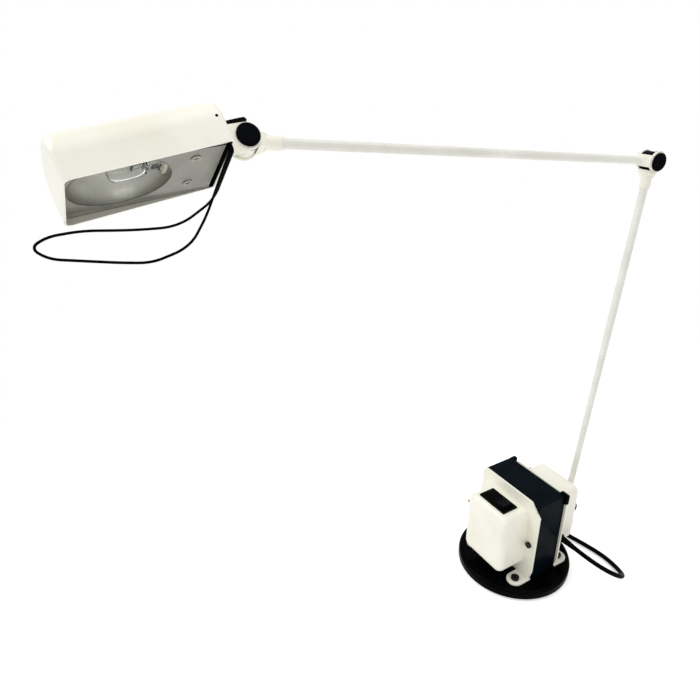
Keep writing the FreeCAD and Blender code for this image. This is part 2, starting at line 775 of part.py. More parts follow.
def make_bracket():
    face = COVER_FACE + S.RearBellDepth
    half = S.BracketWidth / 2
    shelf = (S.ShelfBottom, S.ShelfBottom + S.ShelfThickness)
    axis = (0, SWIVEL_Y)
    top = S.ShelfBottom + S.BracketHeight
    plate = box("BracketPlateBlock", (-half, half), (face, face + S.BracketPlate), (S.ShelfBottom, top))
    reach = box("ShelfBlock", (-half, half), (face, SWIVEL_Y), shelf)
    end = rod("ShelfEnd", half, "z", shelf, axis)
    rib = new_body("RibBody")
    sketch = new_sketch(rib, "RibProfile", "YZ_Plane", -S.RibThickness / 2)
    inner = face + S.BracketPlate
    tip = inner + S.RibReach
    foot = shelf[1]
    outline(sketch, [(inner - 1, foot - 1), (tip, foot - 1), (tip, foot), (inner - 1, top - S.RibDrop)])
    add_pad(rib, sketch, "RibPad", S.RibThickness)
    tools = [rod("SpigotBore", S.SpigotRadius + S.AxleFit, "z", (shelf[0] - 1, shelf[1] + 1), axis)]
    bore = S.ScrewRadius + S.HoleClearance
    heads = []
    for name, sign in (("Left", -1), ("Right", 1)):
        at = (S.BracketScrewSpacing / 2 * sign, S.BracketScrewHeight)
        tools.append(rod(f"Plate{name}Bore", bore, "y", (face - 1, inner + 1), at))
        shank = rod(f"Bracket{name}Shank", S.ScrewRadius, "y", (face - S.BellWall - 3, inner), at)
        head = rod(f"Bracket{name}Head", S.ClampHeadRadius, "y", (inner, inner + S.BracketScrewHead), at)
        heads.append(fuse(f"Bracket{name}Screw", shank, head))
    keep(cut("RearBracket", fuse("BracketSolid", plate, reach, end, rib), *tools), "rear_bracket", WORLD)
    keep(group("BracketScrews", *heads), "bracket_screws", WORLD)


# ---------------------------------------------------------------- knuckles

RING_IN = S.DrumLength / 2 + S.WasherThickness / 2 + S.TurnGap / 2
RING_OUT = RING_IN + S.RingThickness
SADDLE_IN = S.WasherRadius + S.SaddleGap
SADDLE_OUT = SADDLE_IN + S.SaddleThickness


def fitting(name, socket_length, tube_radius):
    """The ring, half saddle, neck and socket of one arm end, in the frame of its knuckle.

    The axle lies along X with the ring at its +X end, and the socket points along +Z. The other member's
    fitting is the same piece turned half round Y, so the two saddles share the drum from opposite ends.
    """
    far = -RING_IN + S.SaddleEndGap
    across = (far, RING_OUT)
    ring = rod(f"{name}Ring", S.RingRadius, "x", (RING_IN, RING_OUT))
    sector = box(f"{name}Sector", across, (-S.SaddleHalfWidth, S.SaddleHalfWidth), (0, SADDLE_OUT + 1))
    round_part = rod(f"{name}Round", SADDLE_OUT, "x", across)
    saddle = common(f"{name}Saddle", sector, round_part)
    neck = doc.addObject("Part::Wedge", f"{name}Neck")
    start = SADDLE_IN * 0.85
    for prop, value in (
        ("Xmin", far), ("Xmax", RING_OUT), ("X2min", -S.NeckHalf), ("X2max", S.NeckHalf),
        ("Zmin", -S.SaddleHalfWidth), ("Zmax", S.SaddleHalfWidth), ("Z2min", -S.NeckHalf), ("Z2max", S.NeckHalf),
        ("Ymin", start), ("Ymax", S.NeckLength),
    ):  # fmt: skip
        bind(neck, prop, value)
    neck.Placement = Placement(Vector(), Rotation(X_AXIS, 90))
    socket = rod(f"{name}Socket", S.SocketRadius, "z", (S.NeckLength - 1.5, socket_length))
    hollow = rod(f"{name}Hollow", SADDLE_IN, "x", (far - 1, RING_IN))
    axle = rod(f"{name}AxleBore", S.AxleRadius + S.AxleFit, "x", (RING_IN - 1, RING_OUT + 1))
    tools = [hollow, axle]
    if tube_radius is not None:
        tools.append(rod(f"{name}TubeBore", tube_radius, "z", (S.SocketFloor, socket_length + 1)))
    return cut(f"{name}Fitting", fuse(f"{name}Solid", ring, saddle, neck, socket), *tools)


def make_knuckle_core(label, name, frame):
    """The drum, washer, cap bolt and cap nut that the two fittings of one knuckle turn on."""
    bore = S.AxleRadius + S.AxleFit
    drum_end = -RING_IN + S.DrumLength
    drum = rod(f"{name}DrumRound", S.DrumRadius, "x", (-RING_IN, drum_end))
    drum_bore = rod(f"{name}DrumBore", bore, "x", (-RING_IN - 1, drum_end + 1))
    keep(cut(f"{name}Drum", drum, drum_bore), f"{label}_drum", frame)
    washer = rod(f"{name}WasherRound", S.WasherRadius, "x", (drum_end, drum_end + S.WasherThickness))
    washer_bore = rod(f"{name}WasherBore", bore, "x", (drum_end - 1, drum_end + S.WasherThickness + 1))
    keep(cut(f"{name}Washer", washer, washer_bore), f"{label}_washer", frame)

    bolt = new_body(f"{name}Bolt")
    sketch = new_sketch(bolt, f"{name}BoltProfile", "XZ_Plane")
    seat = RING_OUT + S.TurnGap
    outer = seat + S.CapThickness
    tail = -RING_OUT - S.CapThickness / 2
    cap = S.CapRadius
    shank = S.AxleRadius
    outline(sketch, [(tail, 0), (outer, 0), (outer, cap), (seat, cap), (seat, shank), (tail, shank)])
    add_revolution(bolt, sketch, f"{name}BoltRound", "H_Axis")
    round_edges(bolt, f"{name}CapRound", S.CapRound, lambda edge: spans(edge, "x", outer, outer))
    keep(bolt, f"{label}_pivot_bolt", frame)

    nut = new_body(f"{name}Nut")
    nut_sketch = new_sketch(nut, f"{name}NutProfile", "XZ_Plane")
    low = -RING_OUT - S.CapThickness
    deep = tail - S.AxleFit
    outline(nut_sketch, [(low, 0), (deep, 0), (deep, bore), (-RING_OUT, bore), (-RING_OUT, cap), (low, cap)])
    add_revolution(nut, nut_sketch, f"{name}NutRound", "H_Axis")
    round_edges(nut, f"{name}NutEdge", S.CapRound, lambda edge: spans(edge, "x", low, low))
    keep(nut, f"{label}_pivot_nut", frame)


def make_swivel():
    """The lowest knuckle's fitting, its neck down, standing on a flange and a spigot in the bracket."""
    neck = fitting("Swivel", S.NeckLength + 3, None)
    neck.Placement = FLIP
    shelf_top = S.ShelfBottom + S.ShelfThickness - S.KnuckleHeight
    flange_low = shelf_top + S.TurnGap
    nut_top = S.ShelfBottom - S.KnuckleHeight - S.TurnGap
    stem = rod("SwivelStem", S.SocketRadius, "z", (flange_low, -S.NeckLength))
    flange = rod("SwivelFlange", S.SwivelFlangeRadius, "z", (flange_low, flange_low + 1.6))
    spigot = rod("SwivelSpigot", S.SpigotRadius, "z", (nut_top - S.SwivelNutHeight, flange_low))
    keep(fuse("SwivelPiece", neck, stem, flange, spigot), "swivel_fitting", UPRIGHT)
    nut = doc.addObject("Part::Prism", "SwivelHex")
    nut.Polygon = 6
    bind(nut, "Circumradius", S.SwivelNutRadius)
    bind(nut, "Height", S.SwivelNutHeight)
    bind(nut, "Placement.Base.z", nut_top - S.SwivelNutHeight)
    through = (nut_top - S.SwivelNutHeight - 1, nut_top + 1)
    bore = rod("SwivelNutBore", S.SpigotRadius + S.AxleFit, "z", through)
    keep(cut("SwivelNut", nut, bore), "swivel_nut", UPRIGHT)
    make_knuckle_core("base", "BaseKnuckle", UPRIGHT)


# ---------------------------------------------------------------- arms


def arm_tube(name, radius, start, end):
    wall_in = radius - S.TubeWall
    outside = rod(f"{name}Outside", radius, "z", (start, end))
    inside = rod(f"{name}Inside", wall_in, "z", (start - 1, end + 1))
    return cut(name, outside, inside)


def make_lower_arm():
    foot = fitting("LowerFoot", S.SocketLength, S.LowerTubeRadius)
    keep(foot, "lower_arm_foot_fitting", LOWER)
    floor = S.SocketFloor
    tube = arm_tube("LowerTube", S.LowerTubeRadius, floor, S.LowerArmLength - floor)
    keep(tube, "lower_arm_tube", LOWER)
    keep(fitting("LowerTop", S.SocketLength, S.LowerTubeRadius), "lower_arm_elbow_fitting", ELBOW * FLIP)
    make_knuckle_core("elbow", "ElbowKnuckle", ELBOW)


def make_upper_arm():
    keep(fitting("UpperFoot", S.ShortSocketLength, S.UpperTubeRadius), "upper_arm_elbow_fitting", UPPER)
    end = S.UpperArmLength - S.SocketFloor - S.TurnGap
    keep(arm_tube("UpperTube", S.UpperTubeRadius, S.SocketFloor, end), "upper_arm_tube", UPPER)
    ring_end = S.UpperArmLength - S.SocketLength - S.TurnGap
    ring_span = (ring_end - S.StepRingLength, ring_end)
    ring = rod("StepRingRound", S.StepRingRadius, "z", ring_span)
    bore = rod("StepRingBore", S.UpperTubeRadius, "z", (ring_span[0] - 1, ring_end + 1))
    keep(cut("StepRing", ring, bore), "upper_arm_step_ring", UPPER)


def make_wrist():
    collar = fitting("Wrist", S.SocketLength, S.UpperTubeRadius + S.AxleFit)
    keep(collar, "head_collar_fitting", WRIST * FLIP)
    make_knuckle_core("head", "HeadKnuckle", WRIST)


# ---------------------------------------------------------------- head


def shade_block(name, inset, overshoot):
    """The shade's outer or inner form in the head's frame: -Y out of the opening, +Z forward."""
    body = new_body(name)
    half = S.ShadeWidth / 2 - inset
    low = -S.OpeningBelowKnuckle - overshoot
    top = -S.OpeningBelowKnuckle + S.ShadeDepth - inset
    rear = S.ShadeBehindKnuckle + inset
    front = S.ShadeBehindKnuckle + S.ShadeLength - inset
    sketch = new_sketch(body, f"{name}Section", "XY_Plane", rear)
    outline(sketch, [(-half, low), (half, low), (half, top), (-half, top)])
    add_pad(body, sketch, f"{name}Pad", front - rear)

    def is_long_top(edge):
        return spans(edge, "z", rear, front) and spans(edge, "y", top, top)

    def is_end(at):
        return lambda edge: spans(edge, "z", at, at) and not spans(edge, "y", low, low)

    round_edges(body, f"{name}TopRound", S.ShadeTopRound - inset, is_long_top)
    round_edges(body, f"{name}FrontRound", S.ShadeFrontRound - inset, is_end(float(front)))
    round_edges(body, f"{name}RearRound", S.ShadeRearRound - inset, is_end(float(rear)))
    return body


def make_shade():
    outer = shade_block("ShadeOuter", Measure.of(0), Measure.of(0))
    inner = shade_block("ShadeInner", S.ShadeWall, Measure.of(1))
    side = S.ShadeWidth / 2
    vent_y = -S.OpeningBelowKnuckle + S.ShadeDepth / 2
    vent = rod("VentHole", 1, "x", (side - S.ShadeWall - 1, side + 1), (vent_y, S.ShadeBehindKnuckle + 4.6))
    tools = [inner, vent]
    rear = S.ShadeBehindKnuckle
    bore = S.SmallScrewRadius + S.HoleClearance
    for name, sign in (("High", 1), ("Low", -1)):
        at = (-S.HeadScrewSide, S.HeadScrewSpacing / 2 * sign)
        tools.append(rod(f"Rear{name}Bore", bore, "z", (rear - 1, rear + S.ShadeWall + 1), at))
    keep(cut("Shade", outer, *tools), "shade", HEAD)


def plate_frame():
    """The reflector plate's frame: origin under the middle of the bowl, on the plate's visible face."""
    z = S.ShadeBehindKnuckle + BOWL_MIDDLE
    slope = math.radians(float(S.PlateSlope))
    y = -float(S.OpeningBelowKnuckle) + 0.4 + math.tan(slope) * float(BOWL_MIDDLE)
    return HEAD * Placement(Vector(0, y, float(z)), Rotation(X_AXIS, -float(S.PlateSlope)))


def bowl_form(name, grow):
    """The bowl's ellipsoid, its widest section on the plate and its top towards +Y."""
    item = doc.addObject("Part::Ellipsoid", name)
    bind(item, "Radius1", S.BowlLength / 2 + grow)
    bind(item, "Radius2", BOWL_WIDTH / 2 + grow)
    bind(item, "Radius3", S.BowlDepth + grow)
    item.Angle1 = -90
    item.Angle2 = 90
    item.Angle3 = 360
    return item


def holder_room(name, clearance):
    """The lamp holder's block, or with a clearance the slot it stands in, in the head's frame."""
    axis = -S.OpeningBelowKnuckle + S.BulbAxisDepth
    x = S.HolderHalfWidth + clearance
    y = S.HolderHalfHeight + clearance
    front = HOLDER_FRONT + clearance
    return box(name, (-x, x), (axis - y, axis + y), (front - S.HolderLength, front))


def make_reflector():
    frame = plate_frame()
    thick = S.PlateThickness
    half = S.ShadeWidth / 2 - S.ShadeWall - S.PlateSideGap
    rear = -(BOWL_MIDDLE - S.ShadeWall - S.PlateRearGap)
    front = S.ShadeLength - BOWL_MIDDLE - S.ShadeWall - S.PlateSideGap
    sheet = box("PlateSheet", (-half, half), (0, thick), (rear, front))
    tools = [bowl_form("PlateOpening", 0)]
    screw_z = S.PlateScrewFromRear - BOWL_MIDDLE
    screws = []
    for name, sign in (("Left", -1), ("Right", 1)):
        at = (S.PlateScrewSpacing / 2 * sign, screw_z)
        bore = S.SmallScrewRadius
        tools.append(rod(f"Plate{name}ScrewBore", bore + S.HoleClearance, "y", (-1, thick + 1), at))
        head = rod(f"Plate{name}Head", S.PlateScrewHeadRadius, "y", (-S.PlateScrewHeadHeight, 0), at)
        shank = rod(f"Plate{name}Shank", bore, "y", (0, thick + 5), at)
        x, z = at
        low = -S.PlateScrewHeadHeight
        slots = [
            box(f"Plate{name}SlotA", (x - 2, x + 2), (low - 1, low + S.PlateScrewSlot), (z - 0.4, z + 0.4)),
            box(f"Plate{name}SlotB", (x - 0.4, x + 0.4), (low - 1, low + S.PlateScrewSlot), (z - 2, z + 2)),
        ]
        screws.append(cut(f"Plate{name}Screw", fuse(f"Plate{name}Plain", head, shank), *slots))
    keep(cut("ReflectorPlate", sheet, *tools), "reflector_plate", frame)
    keep(group("PlateScrews", *screws), "plate_screws", frame)

    beyond = S.BowlLength
    half_space = box("BowlKeep", (-beyond, beyond), (thick, beyond), (-beyond, beyond))
    shell = cut("BowlShell", bowl_form("BowlOutside", S.BowlWall), bowl_form("BowlInside", 0))
    half_bowl = common("HalfBowl", shell, half_space)
    in_head = group("BowlInHead", half_bowl)
    in_head.Placement = HEAD.inverse() * frame
    slot = holder_room("BowlHolderSlot", S.HoleClearance + 0.4)
    bind(slot, "Height", S.HolderLength + S.PinchLength / 2)
    keep(cut("ReflectorBowl", in_head, slot), "reflector_bowl", HEAD)


def make_posts():
    """Two posts from the plate up to the shade's roof, ended by the roof's own curve."""
    frame = HEAD.inverse() * plate_frame()
    posts = []
    screw_z = S.PlateScrewFromRear - BOWL_MIDDLE
    for name, sign in (("Left", -1), ("Right", 1)):
        at = (S.PlateScrewSpacing / 2 * sign, screw_z)
        post = rod(f"Post{name}Round", S.PostRadius, "y", (S.PlateThickness, S.ShadeDepth), at)
        bore = rod(f"Post{name}Bore", S.SmallScrewRadius + S.AxleFit, "y", (0, S.PlateThickness + 6), at)
        turned = group(f"Post{name}Turned", cut(f"Post{name}Bored", post, bore))
        turned.Placement = frame
        roof = shade_block(f"Roof{name}", S.ShadeWall, Measure.of(1))
        posts.append(common(f"Post{name}", turned, roof))
    keep(group("PlatePosts", *posts), "plate_posts", HEAD)


def make_bulb():
    axis = -S.OpeningBelowKnuckle + S.BulbAxisDepth
    frame = HEAD * Placement(Vector(0, float(axis), 0), Rotation())
    pins_from = HOLDER_FRONT - S.BulbPinLength
    pinch_from = HOLDER_FRONT
    glass_from = pinch_from + S.PinchLength
    reach = S.BulbPinSpacing / 2
    bores = []
    pins = []
    bore = S.BulbPinRadius + S.AxleFit
    for name, x in (("Left", -reach), ("Right", reach)):
        bores.append(rod(f"Holder{name}Bore", bore, "z", (pins_from - 1, pinch_from + 1), (x, axis)))
        pins.append(rod(f"Bulb{name}Pin", S.BulbPinRadius, "z", (pins_from, pinch_from), (x, 0)))
    keep(cut("LampHolder", holder_room("HolderBlock", 0), *bores), "lamp_holder", HEAD)
    keep(group("BulbPins", *pins), "bulb_pins", frame)

    body = new_body("BulbEnvelope")
    sketch = new_sketch(body, "BulbProfile", "XZ_Plane")
    wall = S.BulbGlass
    end = glass_from + S.BulbLength
    outline(
        sketch,
        [(0, glass_from), (S.BulbRadius, glass_from), (S.BulbRadius, end), (0, end)],
    )
    add_revolution(body, sketch, "BulbRound", "V_Axis")
    round_edges(body, "BulbTip", S.BulbRadius * 0.9, lambda edge: spans(edge, "z", end, end))
    wide = (-S.PinchHalfWidth, S.PinchHalfWidth)
    high = (-S.PinchHalfHeight, S.PinchHalfHeight)
    pinch = box("Pinch", wide, high, (pinch_from, glass_from))
    room = rod("BulbRoom", S.BulbRadius - wall, "z", (glass_from + wall, end - S.BulbRadius * 0.9))
    keep(cut("Bulb", fuse("BulbSolid", body, pinch), room), "bulb_glass", frame)
    floor = glass_from + wall
    half = S.FilamentLength / 2
    middle = floor + half + S.FilamentClearance
    wires = [rod("FilamentRod", S.FilamentRadius, "x", (-half, half), (0, middle))]
    inset = S.LeadWireRadius * 2
    for name, x in (("Left", inset - half), ("Right", half - inset)):
        wires.append(rod(f"Filament{name}Lead", S.LeadWireRadius, "z", (floor, middle), (x, 0)))
    keep(group("Filament", fuse("FilamentSolid", *wires)), "bulb_filament", frame)


def make_head_bracket():
    """The ring that turns on the head's knuckle, widened into a cheek and folded onto the shade's rear."""
    seat = S.ShadeBehindKnuckle
    wall = S.RingThickness
    ring = rod("HeadRing", S.RingRadius, "x", (RING_IN, RING_OUT))
    cheek = new_body("Cheek")
    sketch = new_sketch(cheek, "CheekOutline", "YZ_Plane", RING_IN)
    outline(
        sketch,
        [(-S.RingRadius, 0), (S.RingRadius, 0), (S.BracketArmHalf, seat), (-S.BracketArmHalf, seat)],
    )
    add_pad(cheek, sketch, "CheekPad", wall)
    across = (-RING_OUT, RING_OUT)
    back = box("HeadBackPlate", across, (-S.BracketArmHalf, S.BracketArmHalf), (seat - wall, seat))
    tools = [rod("HeadAxleBore", S.AxleRadius + S.AxleFit, "x", (RING_IN - 1, RING_OUT + 1))]
    screws = []
    for name, sign in (("High", 1), ("Low", -1)):
        at = (-S.HeadScrewSide, S.HeadScrewSpacing / 2 * sign)
        bore = S.SmallScrewRadius
        tools.append(rod(f"Back{name}Bore", bore + S.HoleClearance, "z", (seat - wall - 1, seat + 1), at))
        shank = rod(f"Back{name}Shank", bore, "z", (seat - wall, seat + S.ShadeWall + 3), at)
        head = rod(f"Back{name}Head", bore * 2, "z", (seat - wall - 1.4, seat - wall), at)
        screws.append(fuse(f"Back{name}Screw", shank, head))
    keep(cut("HeadBracket", fuse("HeadBracketSolid", ring, cheek, back), *tools), "head_bracket", HEAD)
    keep(group("HeadScrews", *screws), "head_bracket_screws", HEAD)

    cover = new_body("CableCover")
    side = new_sketch(cover, "CoverSide", "YZ_Plane", -S.CoverHalfWidth)
    top = S.CoverTop
    end = -S.CoverOverhang
    high = S.BracketArmHalf
    low = S.CoverUnder
    outline(side, [(low, end), (top, end), (top, seat), (high, seat), (high, seat - wall), (low, seat - wall)])
    add_pad(cover, side, "CoverPad", S.CoverHalfWidth + RING_IN - S.SaddleGap)

    def is_end(edge):
        return spans(edge, "y", top, top) and spans(edge, "z", end, end)

    round_edges(cover, "CoverEndRound", S.CoverRound, is_end)
    keep(cover, "cable_cover", HEAD)


def make_handle():
    radius = float(S.WireRadius)
    points = [Vector(*place) for place in (HANDLE_START, *HANDLE_ROUTE, HANDLE_END)]
    route_node("wire_handle", points, radius, HEAD, radius * 2)
    side = S.ShadeWidth / 2 - S.ShadeRearRound
    rear = S.ShadeBehindKnuckle + S.ShadeWall
    size = S.ClipSize
    low = HANDLE_START[1]
    block = box("ClipBlock", (side - size, side), (low, low + size), (rear, rear + S.PlateRearGap - S.TurnGap))
    keep(group("HandleClip", block), "handle_clip", HEAD)


# ---------------------------------------------------------------- mains lead


def make_gland():
    side = S.BellWidth / 2
    y = COVER_FACE + S.GlandBehindFlange
    at = (y, S.GlandHeight)
    flange = rod("GlandFlangeRound", S.GlandRadius, "x", (side, side + S.GlandFlange), at)
    inner = rod("GlandNeck", S.CordRadius, "x", (side - S.BellWall - 1, side), at)
    taper = doc.addObject("Part::Cone", "GlandTaperRound")
    bind(taper, "Radius1", S.GlandRadius * 0.85)
    bind(taper, "Radius2", S.CordRadius)
    bind(taper, "Height", S.GlandTaper)
    taper.Placement = Placement(Vector(), Rotation(Y_AXIS, 90))
    bind(taper, "Placement.Base.x", side + S.GlandFlange)
    bind(taper, "Placement.Base.y", y)
    bind(taper, "Placement.Base.z", S.GlandHeight)
    keep(fuse("CordGland", flange, inner, taper), "cord_gland", WORLD)
    return Vector(float(side + S.GlandFlange + S.GlandTaper), float(y), float(S.GlandHeight))


def coil_place(turns):
    """The coil's centre line after some turns: a spiral that winds in on one layer and out on the next."""
    angle = math.radians(COIL_START_ANGLE) - 2 * math.pi * turns
    inward = min(turns, COIL_TURNS - turns)
    radius = float(S.CoilRadius) - float(S.CoilPitch) * inward
    climb = min(max((turns - COIL_TURNS / 2) / 0.5 + 0.5, 0.0), 1.0)
    rise = float(S.CoilLayerRise) * climb * climb * (3 - 2 * climb)
    x = COIL_CENTRE[0] + radius * math.cos(angle)
    y = COIL_CENTRE[1] + radius * math.sin(angle)
    return Vector(x, y, float(S.CordRadius) + float(S.CordFloorGap) + rise)


def biarc(start, start_way, end, end_way):
    """Two tangent arcs from one point and direction to another."""
    gap = end - start
    ways = start_way + end_way
    a = 2 * (start_way.dot(end_way) - 1)
    b = -2 * gap.dot(ways)
    c = gap.dot(gap)
    reach = (-b - math.sqrt(b * b - 4 * a * c)) / (2 * a)
    first = start + start_way * reach
    second = end - end_way * reach
    middle = (first + second) * 0.5
    return [arc_between(start, first, middle), arc_between(middle, second, end)]


def make_coil():
    """The spare lead in a neat coil of two layers, with a straight end of one diameter each way."""
    radius = float(S.CordRadius)
    count = int(round(COIL_TURNS * 4)) + 1
    knots = [COIL_TURNS * step / (count - 1) for step in range(count)]
    small = 1e-4
    places = [coil_place(turns) for turns in knots]
    ways = []
    for turns in knots:
        before = coil_place(max(turns - small, 0))
        after = coil_place(min(turns + small, COIL_TURNS))
        ways.append((after - before).normalize())
    lead_in = places[0] - ways[0] * (2 * radius)
    lead_out = places[-1] + ways[-1] * (2 * radius)
    edges = [Part.LineSegment(lead_in, places[0]).toShape()]
    for place, way, next_place, next_way in zip(places, ways, places[1:], ways[1:]):
        edges += biarc(place, way, next_place, next_way)
    edges.append(Part.LineSegment(places[-1], lead_out).toShape())
    path, shape = tube_along(edges, radius)
    print(f"cord_coil: length {path.Length:.1f}, least gap to itself {coil_gap(radius):.2f}")
    assert abs(shape.Volume / (math.pi * radius**2 * path.Length) - 1) < 0.02, "coil has a wrong volume"
    item = doc.addObject("Part::Feature", "CordCoil")
    item.Shape = shape
    keep(item, "cord_coil", WORLD)
    return lead_in, lead_out, ways[-1], path.Length


def coil_gap(radius):
    """The least clear gap between turns, measured on points a fortieth of a turn apart."""
    steps = int(COIL_TURNS * 40)
    points = [coil_place(COIL_TURNS * step / steps) for step in range(steps + 1)]
    least = 1e9
    for here in range(len(points)):
        for there in range(here + 20, len(points)):
            least = min(least, (points[here] - points[there]).Length)
    return least - 2 * radius


def make_plug(start, way):
    """A moulded two-pin plug lying flat past the coil's end, in a frame whose +X is the cord's way."""
    half = start.z - float(S.CordFloorGap)
    frame = Placement(start, Rotation(X_AXIS, way))
    relief = doc.addObject("Part::Cone", "PlugRelief")
    bind(relief, "Radius1", S.CordRadius)
    bind(relief, "Radius2", S.CordRadius * 1.7)
    bind(relief, "Height", S.PlugReliefLength)
    relief.Placement = Placement(Vector(), Rotation(Y_AXIS, 90))
    body = new_body("PlugShell")
    sketch = new_sketch(body, "PlugSection", "YZ_Plane", S.PlugReliefLength)
    width = S.PlugWidth / 2
    outline(sketch, [(-width, -half), (width, -half), (width, half), (-width, half)])
    add_pad(body, sketch, "PlugPad", S.PlugLength)
    end = S.PlugReliefLength + S.PlugLength
    round_edges(body, "PlugRounds", S.PlugRound, lambda edge: spans(edge, "x", S.PlugReliefLength, end))
    back = S.PlugReliefLength
    round_edges(body, "PlugBack", S.PlugRound * 0.9, lambda edge: spans(edge, "x", back, back))
    keep(fuse("Plug", relief, body), "plug_body", frame)
    pins = []
    for name, sign in (("Left", -1), ("Right", 1)):
        at = (S.PlugPinSpacing / 2 * sign, 0)
        pins.append(rod(f"Plug{name}Pin", S.PlugPinRadius, "x", (end, end + S.PlugPinLength), at))
    keep(group("PlugPins", *pins), "plug_pins", frame)


def make_mains_lead():
    exit_place = make_gland()
    lead_in, lead_out, way, coiled = make_coil()
    points = [exit_place, *(Vector(*place) for place in CORD_ROUTE), lead_in]
    free = route_node("mains_cord", points, float(S.CordRadius), WORLD, 5 * float(S.CordRadius))
    print(f"mains lead: {free + coiled:.0f} mm from the grommet to the plug")
    make_plug(lead_out, way)


# ---------------------------------------------------------------- the whole lamp


def check_and_export():
    """Stops on any failed object, then writes one file for each kept sub-part."""
    doc.recompute()
    failed = [item.Name for item in doc.Objects if "Invalid" in item.State or "Error" in item.State]
    assert not failed, f"failed objects: {failed}"
    for label, item in NODES.items():
        shape = item.Shape
        assert not shape.isNull() and shape.isValid() and shape.Volume > 0, f"{label} has no sound shape"
    os.makedirs("parts", exist_ok=True)
    for label, item in NODES.items():
        item.Shape.exportStep(f"parts/{label}.step")
    print(f"{len(NODES)} sub-parts written")


make_base()
make_foot_screws()
make_core()
make_covers()
make_clamps()
make_switch()
make_bracket()
make_swivel()
make_lower_arm()
make_upper_arm()
make_wrist()
make_shade()
make_reflector()
make_posts()
make_bulb()
make_head_bracket()
make_handle()
make_mains_lead()
check_and_export()
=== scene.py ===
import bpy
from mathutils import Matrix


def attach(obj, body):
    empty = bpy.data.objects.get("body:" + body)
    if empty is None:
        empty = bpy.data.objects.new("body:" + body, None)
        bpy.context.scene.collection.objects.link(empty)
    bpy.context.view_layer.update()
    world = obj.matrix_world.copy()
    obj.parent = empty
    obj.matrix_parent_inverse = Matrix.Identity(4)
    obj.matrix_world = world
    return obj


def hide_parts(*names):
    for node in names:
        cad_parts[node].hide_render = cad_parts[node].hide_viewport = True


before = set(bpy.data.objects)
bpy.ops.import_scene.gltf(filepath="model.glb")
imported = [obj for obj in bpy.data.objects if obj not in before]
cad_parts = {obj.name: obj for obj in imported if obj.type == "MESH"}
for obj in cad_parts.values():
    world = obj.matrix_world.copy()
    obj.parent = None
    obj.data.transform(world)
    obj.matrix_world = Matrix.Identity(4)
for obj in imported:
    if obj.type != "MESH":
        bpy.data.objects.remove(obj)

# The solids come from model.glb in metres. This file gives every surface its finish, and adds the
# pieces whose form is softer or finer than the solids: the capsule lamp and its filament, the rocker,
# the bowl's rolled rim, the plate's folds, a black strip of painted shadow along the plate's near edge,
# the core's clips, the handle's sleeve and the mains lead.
"""Dresses the balance desk lamp: enamelled head and arms, transformer base, reflector, lamp and lead.

The solids come from the frame in metres. This file gives every surface its finish, and adds the pieces
whose form is softer or finer than the solids: the capsule lamp and its filament, the rocker, the bowl's
rolled rim, the plate's folds and seal, the core's clips, the handle's sleeve and the mains lead.
"""

import logging
import math
from dataclasses import dataclass, field
from enum import Enum
from typing import Any, Callable, Optional, Sequence

import bmesh
import bpy
import numpy as np
from mathutils import Matrix, Vector

LOG = logging.getLogger("balance_lamp")
logging.basicConfig(level=logging.INFO, format="%(name)s: %(message)s")

MM = 0.001
MERGE = 1e-7  # metres: points nearer than this are one
NOISE_MIDDLE = (0.3, 0.7)  # where most of a noise's values lie
WAVE_FACTOR = 20.0  # the wave node's own factor on its scale
Array = np.ndarray
Tree = bpy.types.NodeTree
Piece = bpy.types.Object
Socket = bpy.types.NodeSocket
Span = tuple[float, float]
Faces = list[list[int]]
Point = tuple[float, float, float]
Colour = tuple[float, float, float, float]


# ---------------- colour and nodes


def linear(hex_colour: str) -> Colour:
    """Turns an sRGB hex colour into linear RGBA.

    Args:
        hex_colour: six hex digits, such as "f1efe2".

    Returns:
        Linear red, green and blue, and an alpha of 1.
    """
    parts = [int(hex_colour[i : i + 2], 16) / 255.0 for i in (0, 2, 4)]
    red, green, blue = (p / 12.92 if p <= 0.04045 else ((p + 0.055) / 1.055) ** 2.4 for p in parts)
    return red, green, blue, 1.0


def toned(hex_colour: str, share: float, lift: float = 0.0) -> Colour:
    """Gives a colour with its light scaled by a share and then lifted."""
    red, green, blue = (min(c * share + lift, 1.0) for c in linear(hex_colour)[:3])
    return red, green, blue, 1.0


def grain(size_mm: float) -> float:
    """Gives the texture scale at which one feature is as wide as the given millimetres."""
    return 1.0 / (size_mm * MM)


def add_node(
    tree: Tree, kind: str, sockets: Optional[dict[Any, Any]] = None, **settings: Any
) -> bpy.types.Node:
    """Adds one node, with its settings, socket values and links.

    Args:
        tree: the node tree that gets the node.
        kind: the node's type name.
        sockets: input socket name or index to a value, or to the output socket that feeds it.
        settings: attributes of the node itself.

    Returns:
        The new node.
    """
    node = tree.nodes.new(kind)
    for name, value in settings.items():
        setattr(node, name, value)
    for key, value in (sockets or {}).items():
        if isinstance(value, Socket):
            tree.links.new(value, node.inputs[key])
        else:
            node.inputs[key].default_value = value
    return node


def mapped(tree: Tree, source: Socket, given: Span, result: Span) -> Socket:
    """Maps a socket's values from the given range to the result's, held at both ends."""
    ends = {"From Min": given[0], "From Max": given[1], "To Min": result[0], "To Max": result[1]}
    return add_node(tree, "ShaderNodeMapRange", {"Value": source, **ends}).outputs["Result"]


def reckoned(tree: Tree, operation: str, first: Any, second: Any) -> Socket:
    """Works out one operation on two values, each a socket or a number."""
    return add_node(tree, "ShaderNodeMath", {0: first, 1: second}, operation=operation).outputs[0]


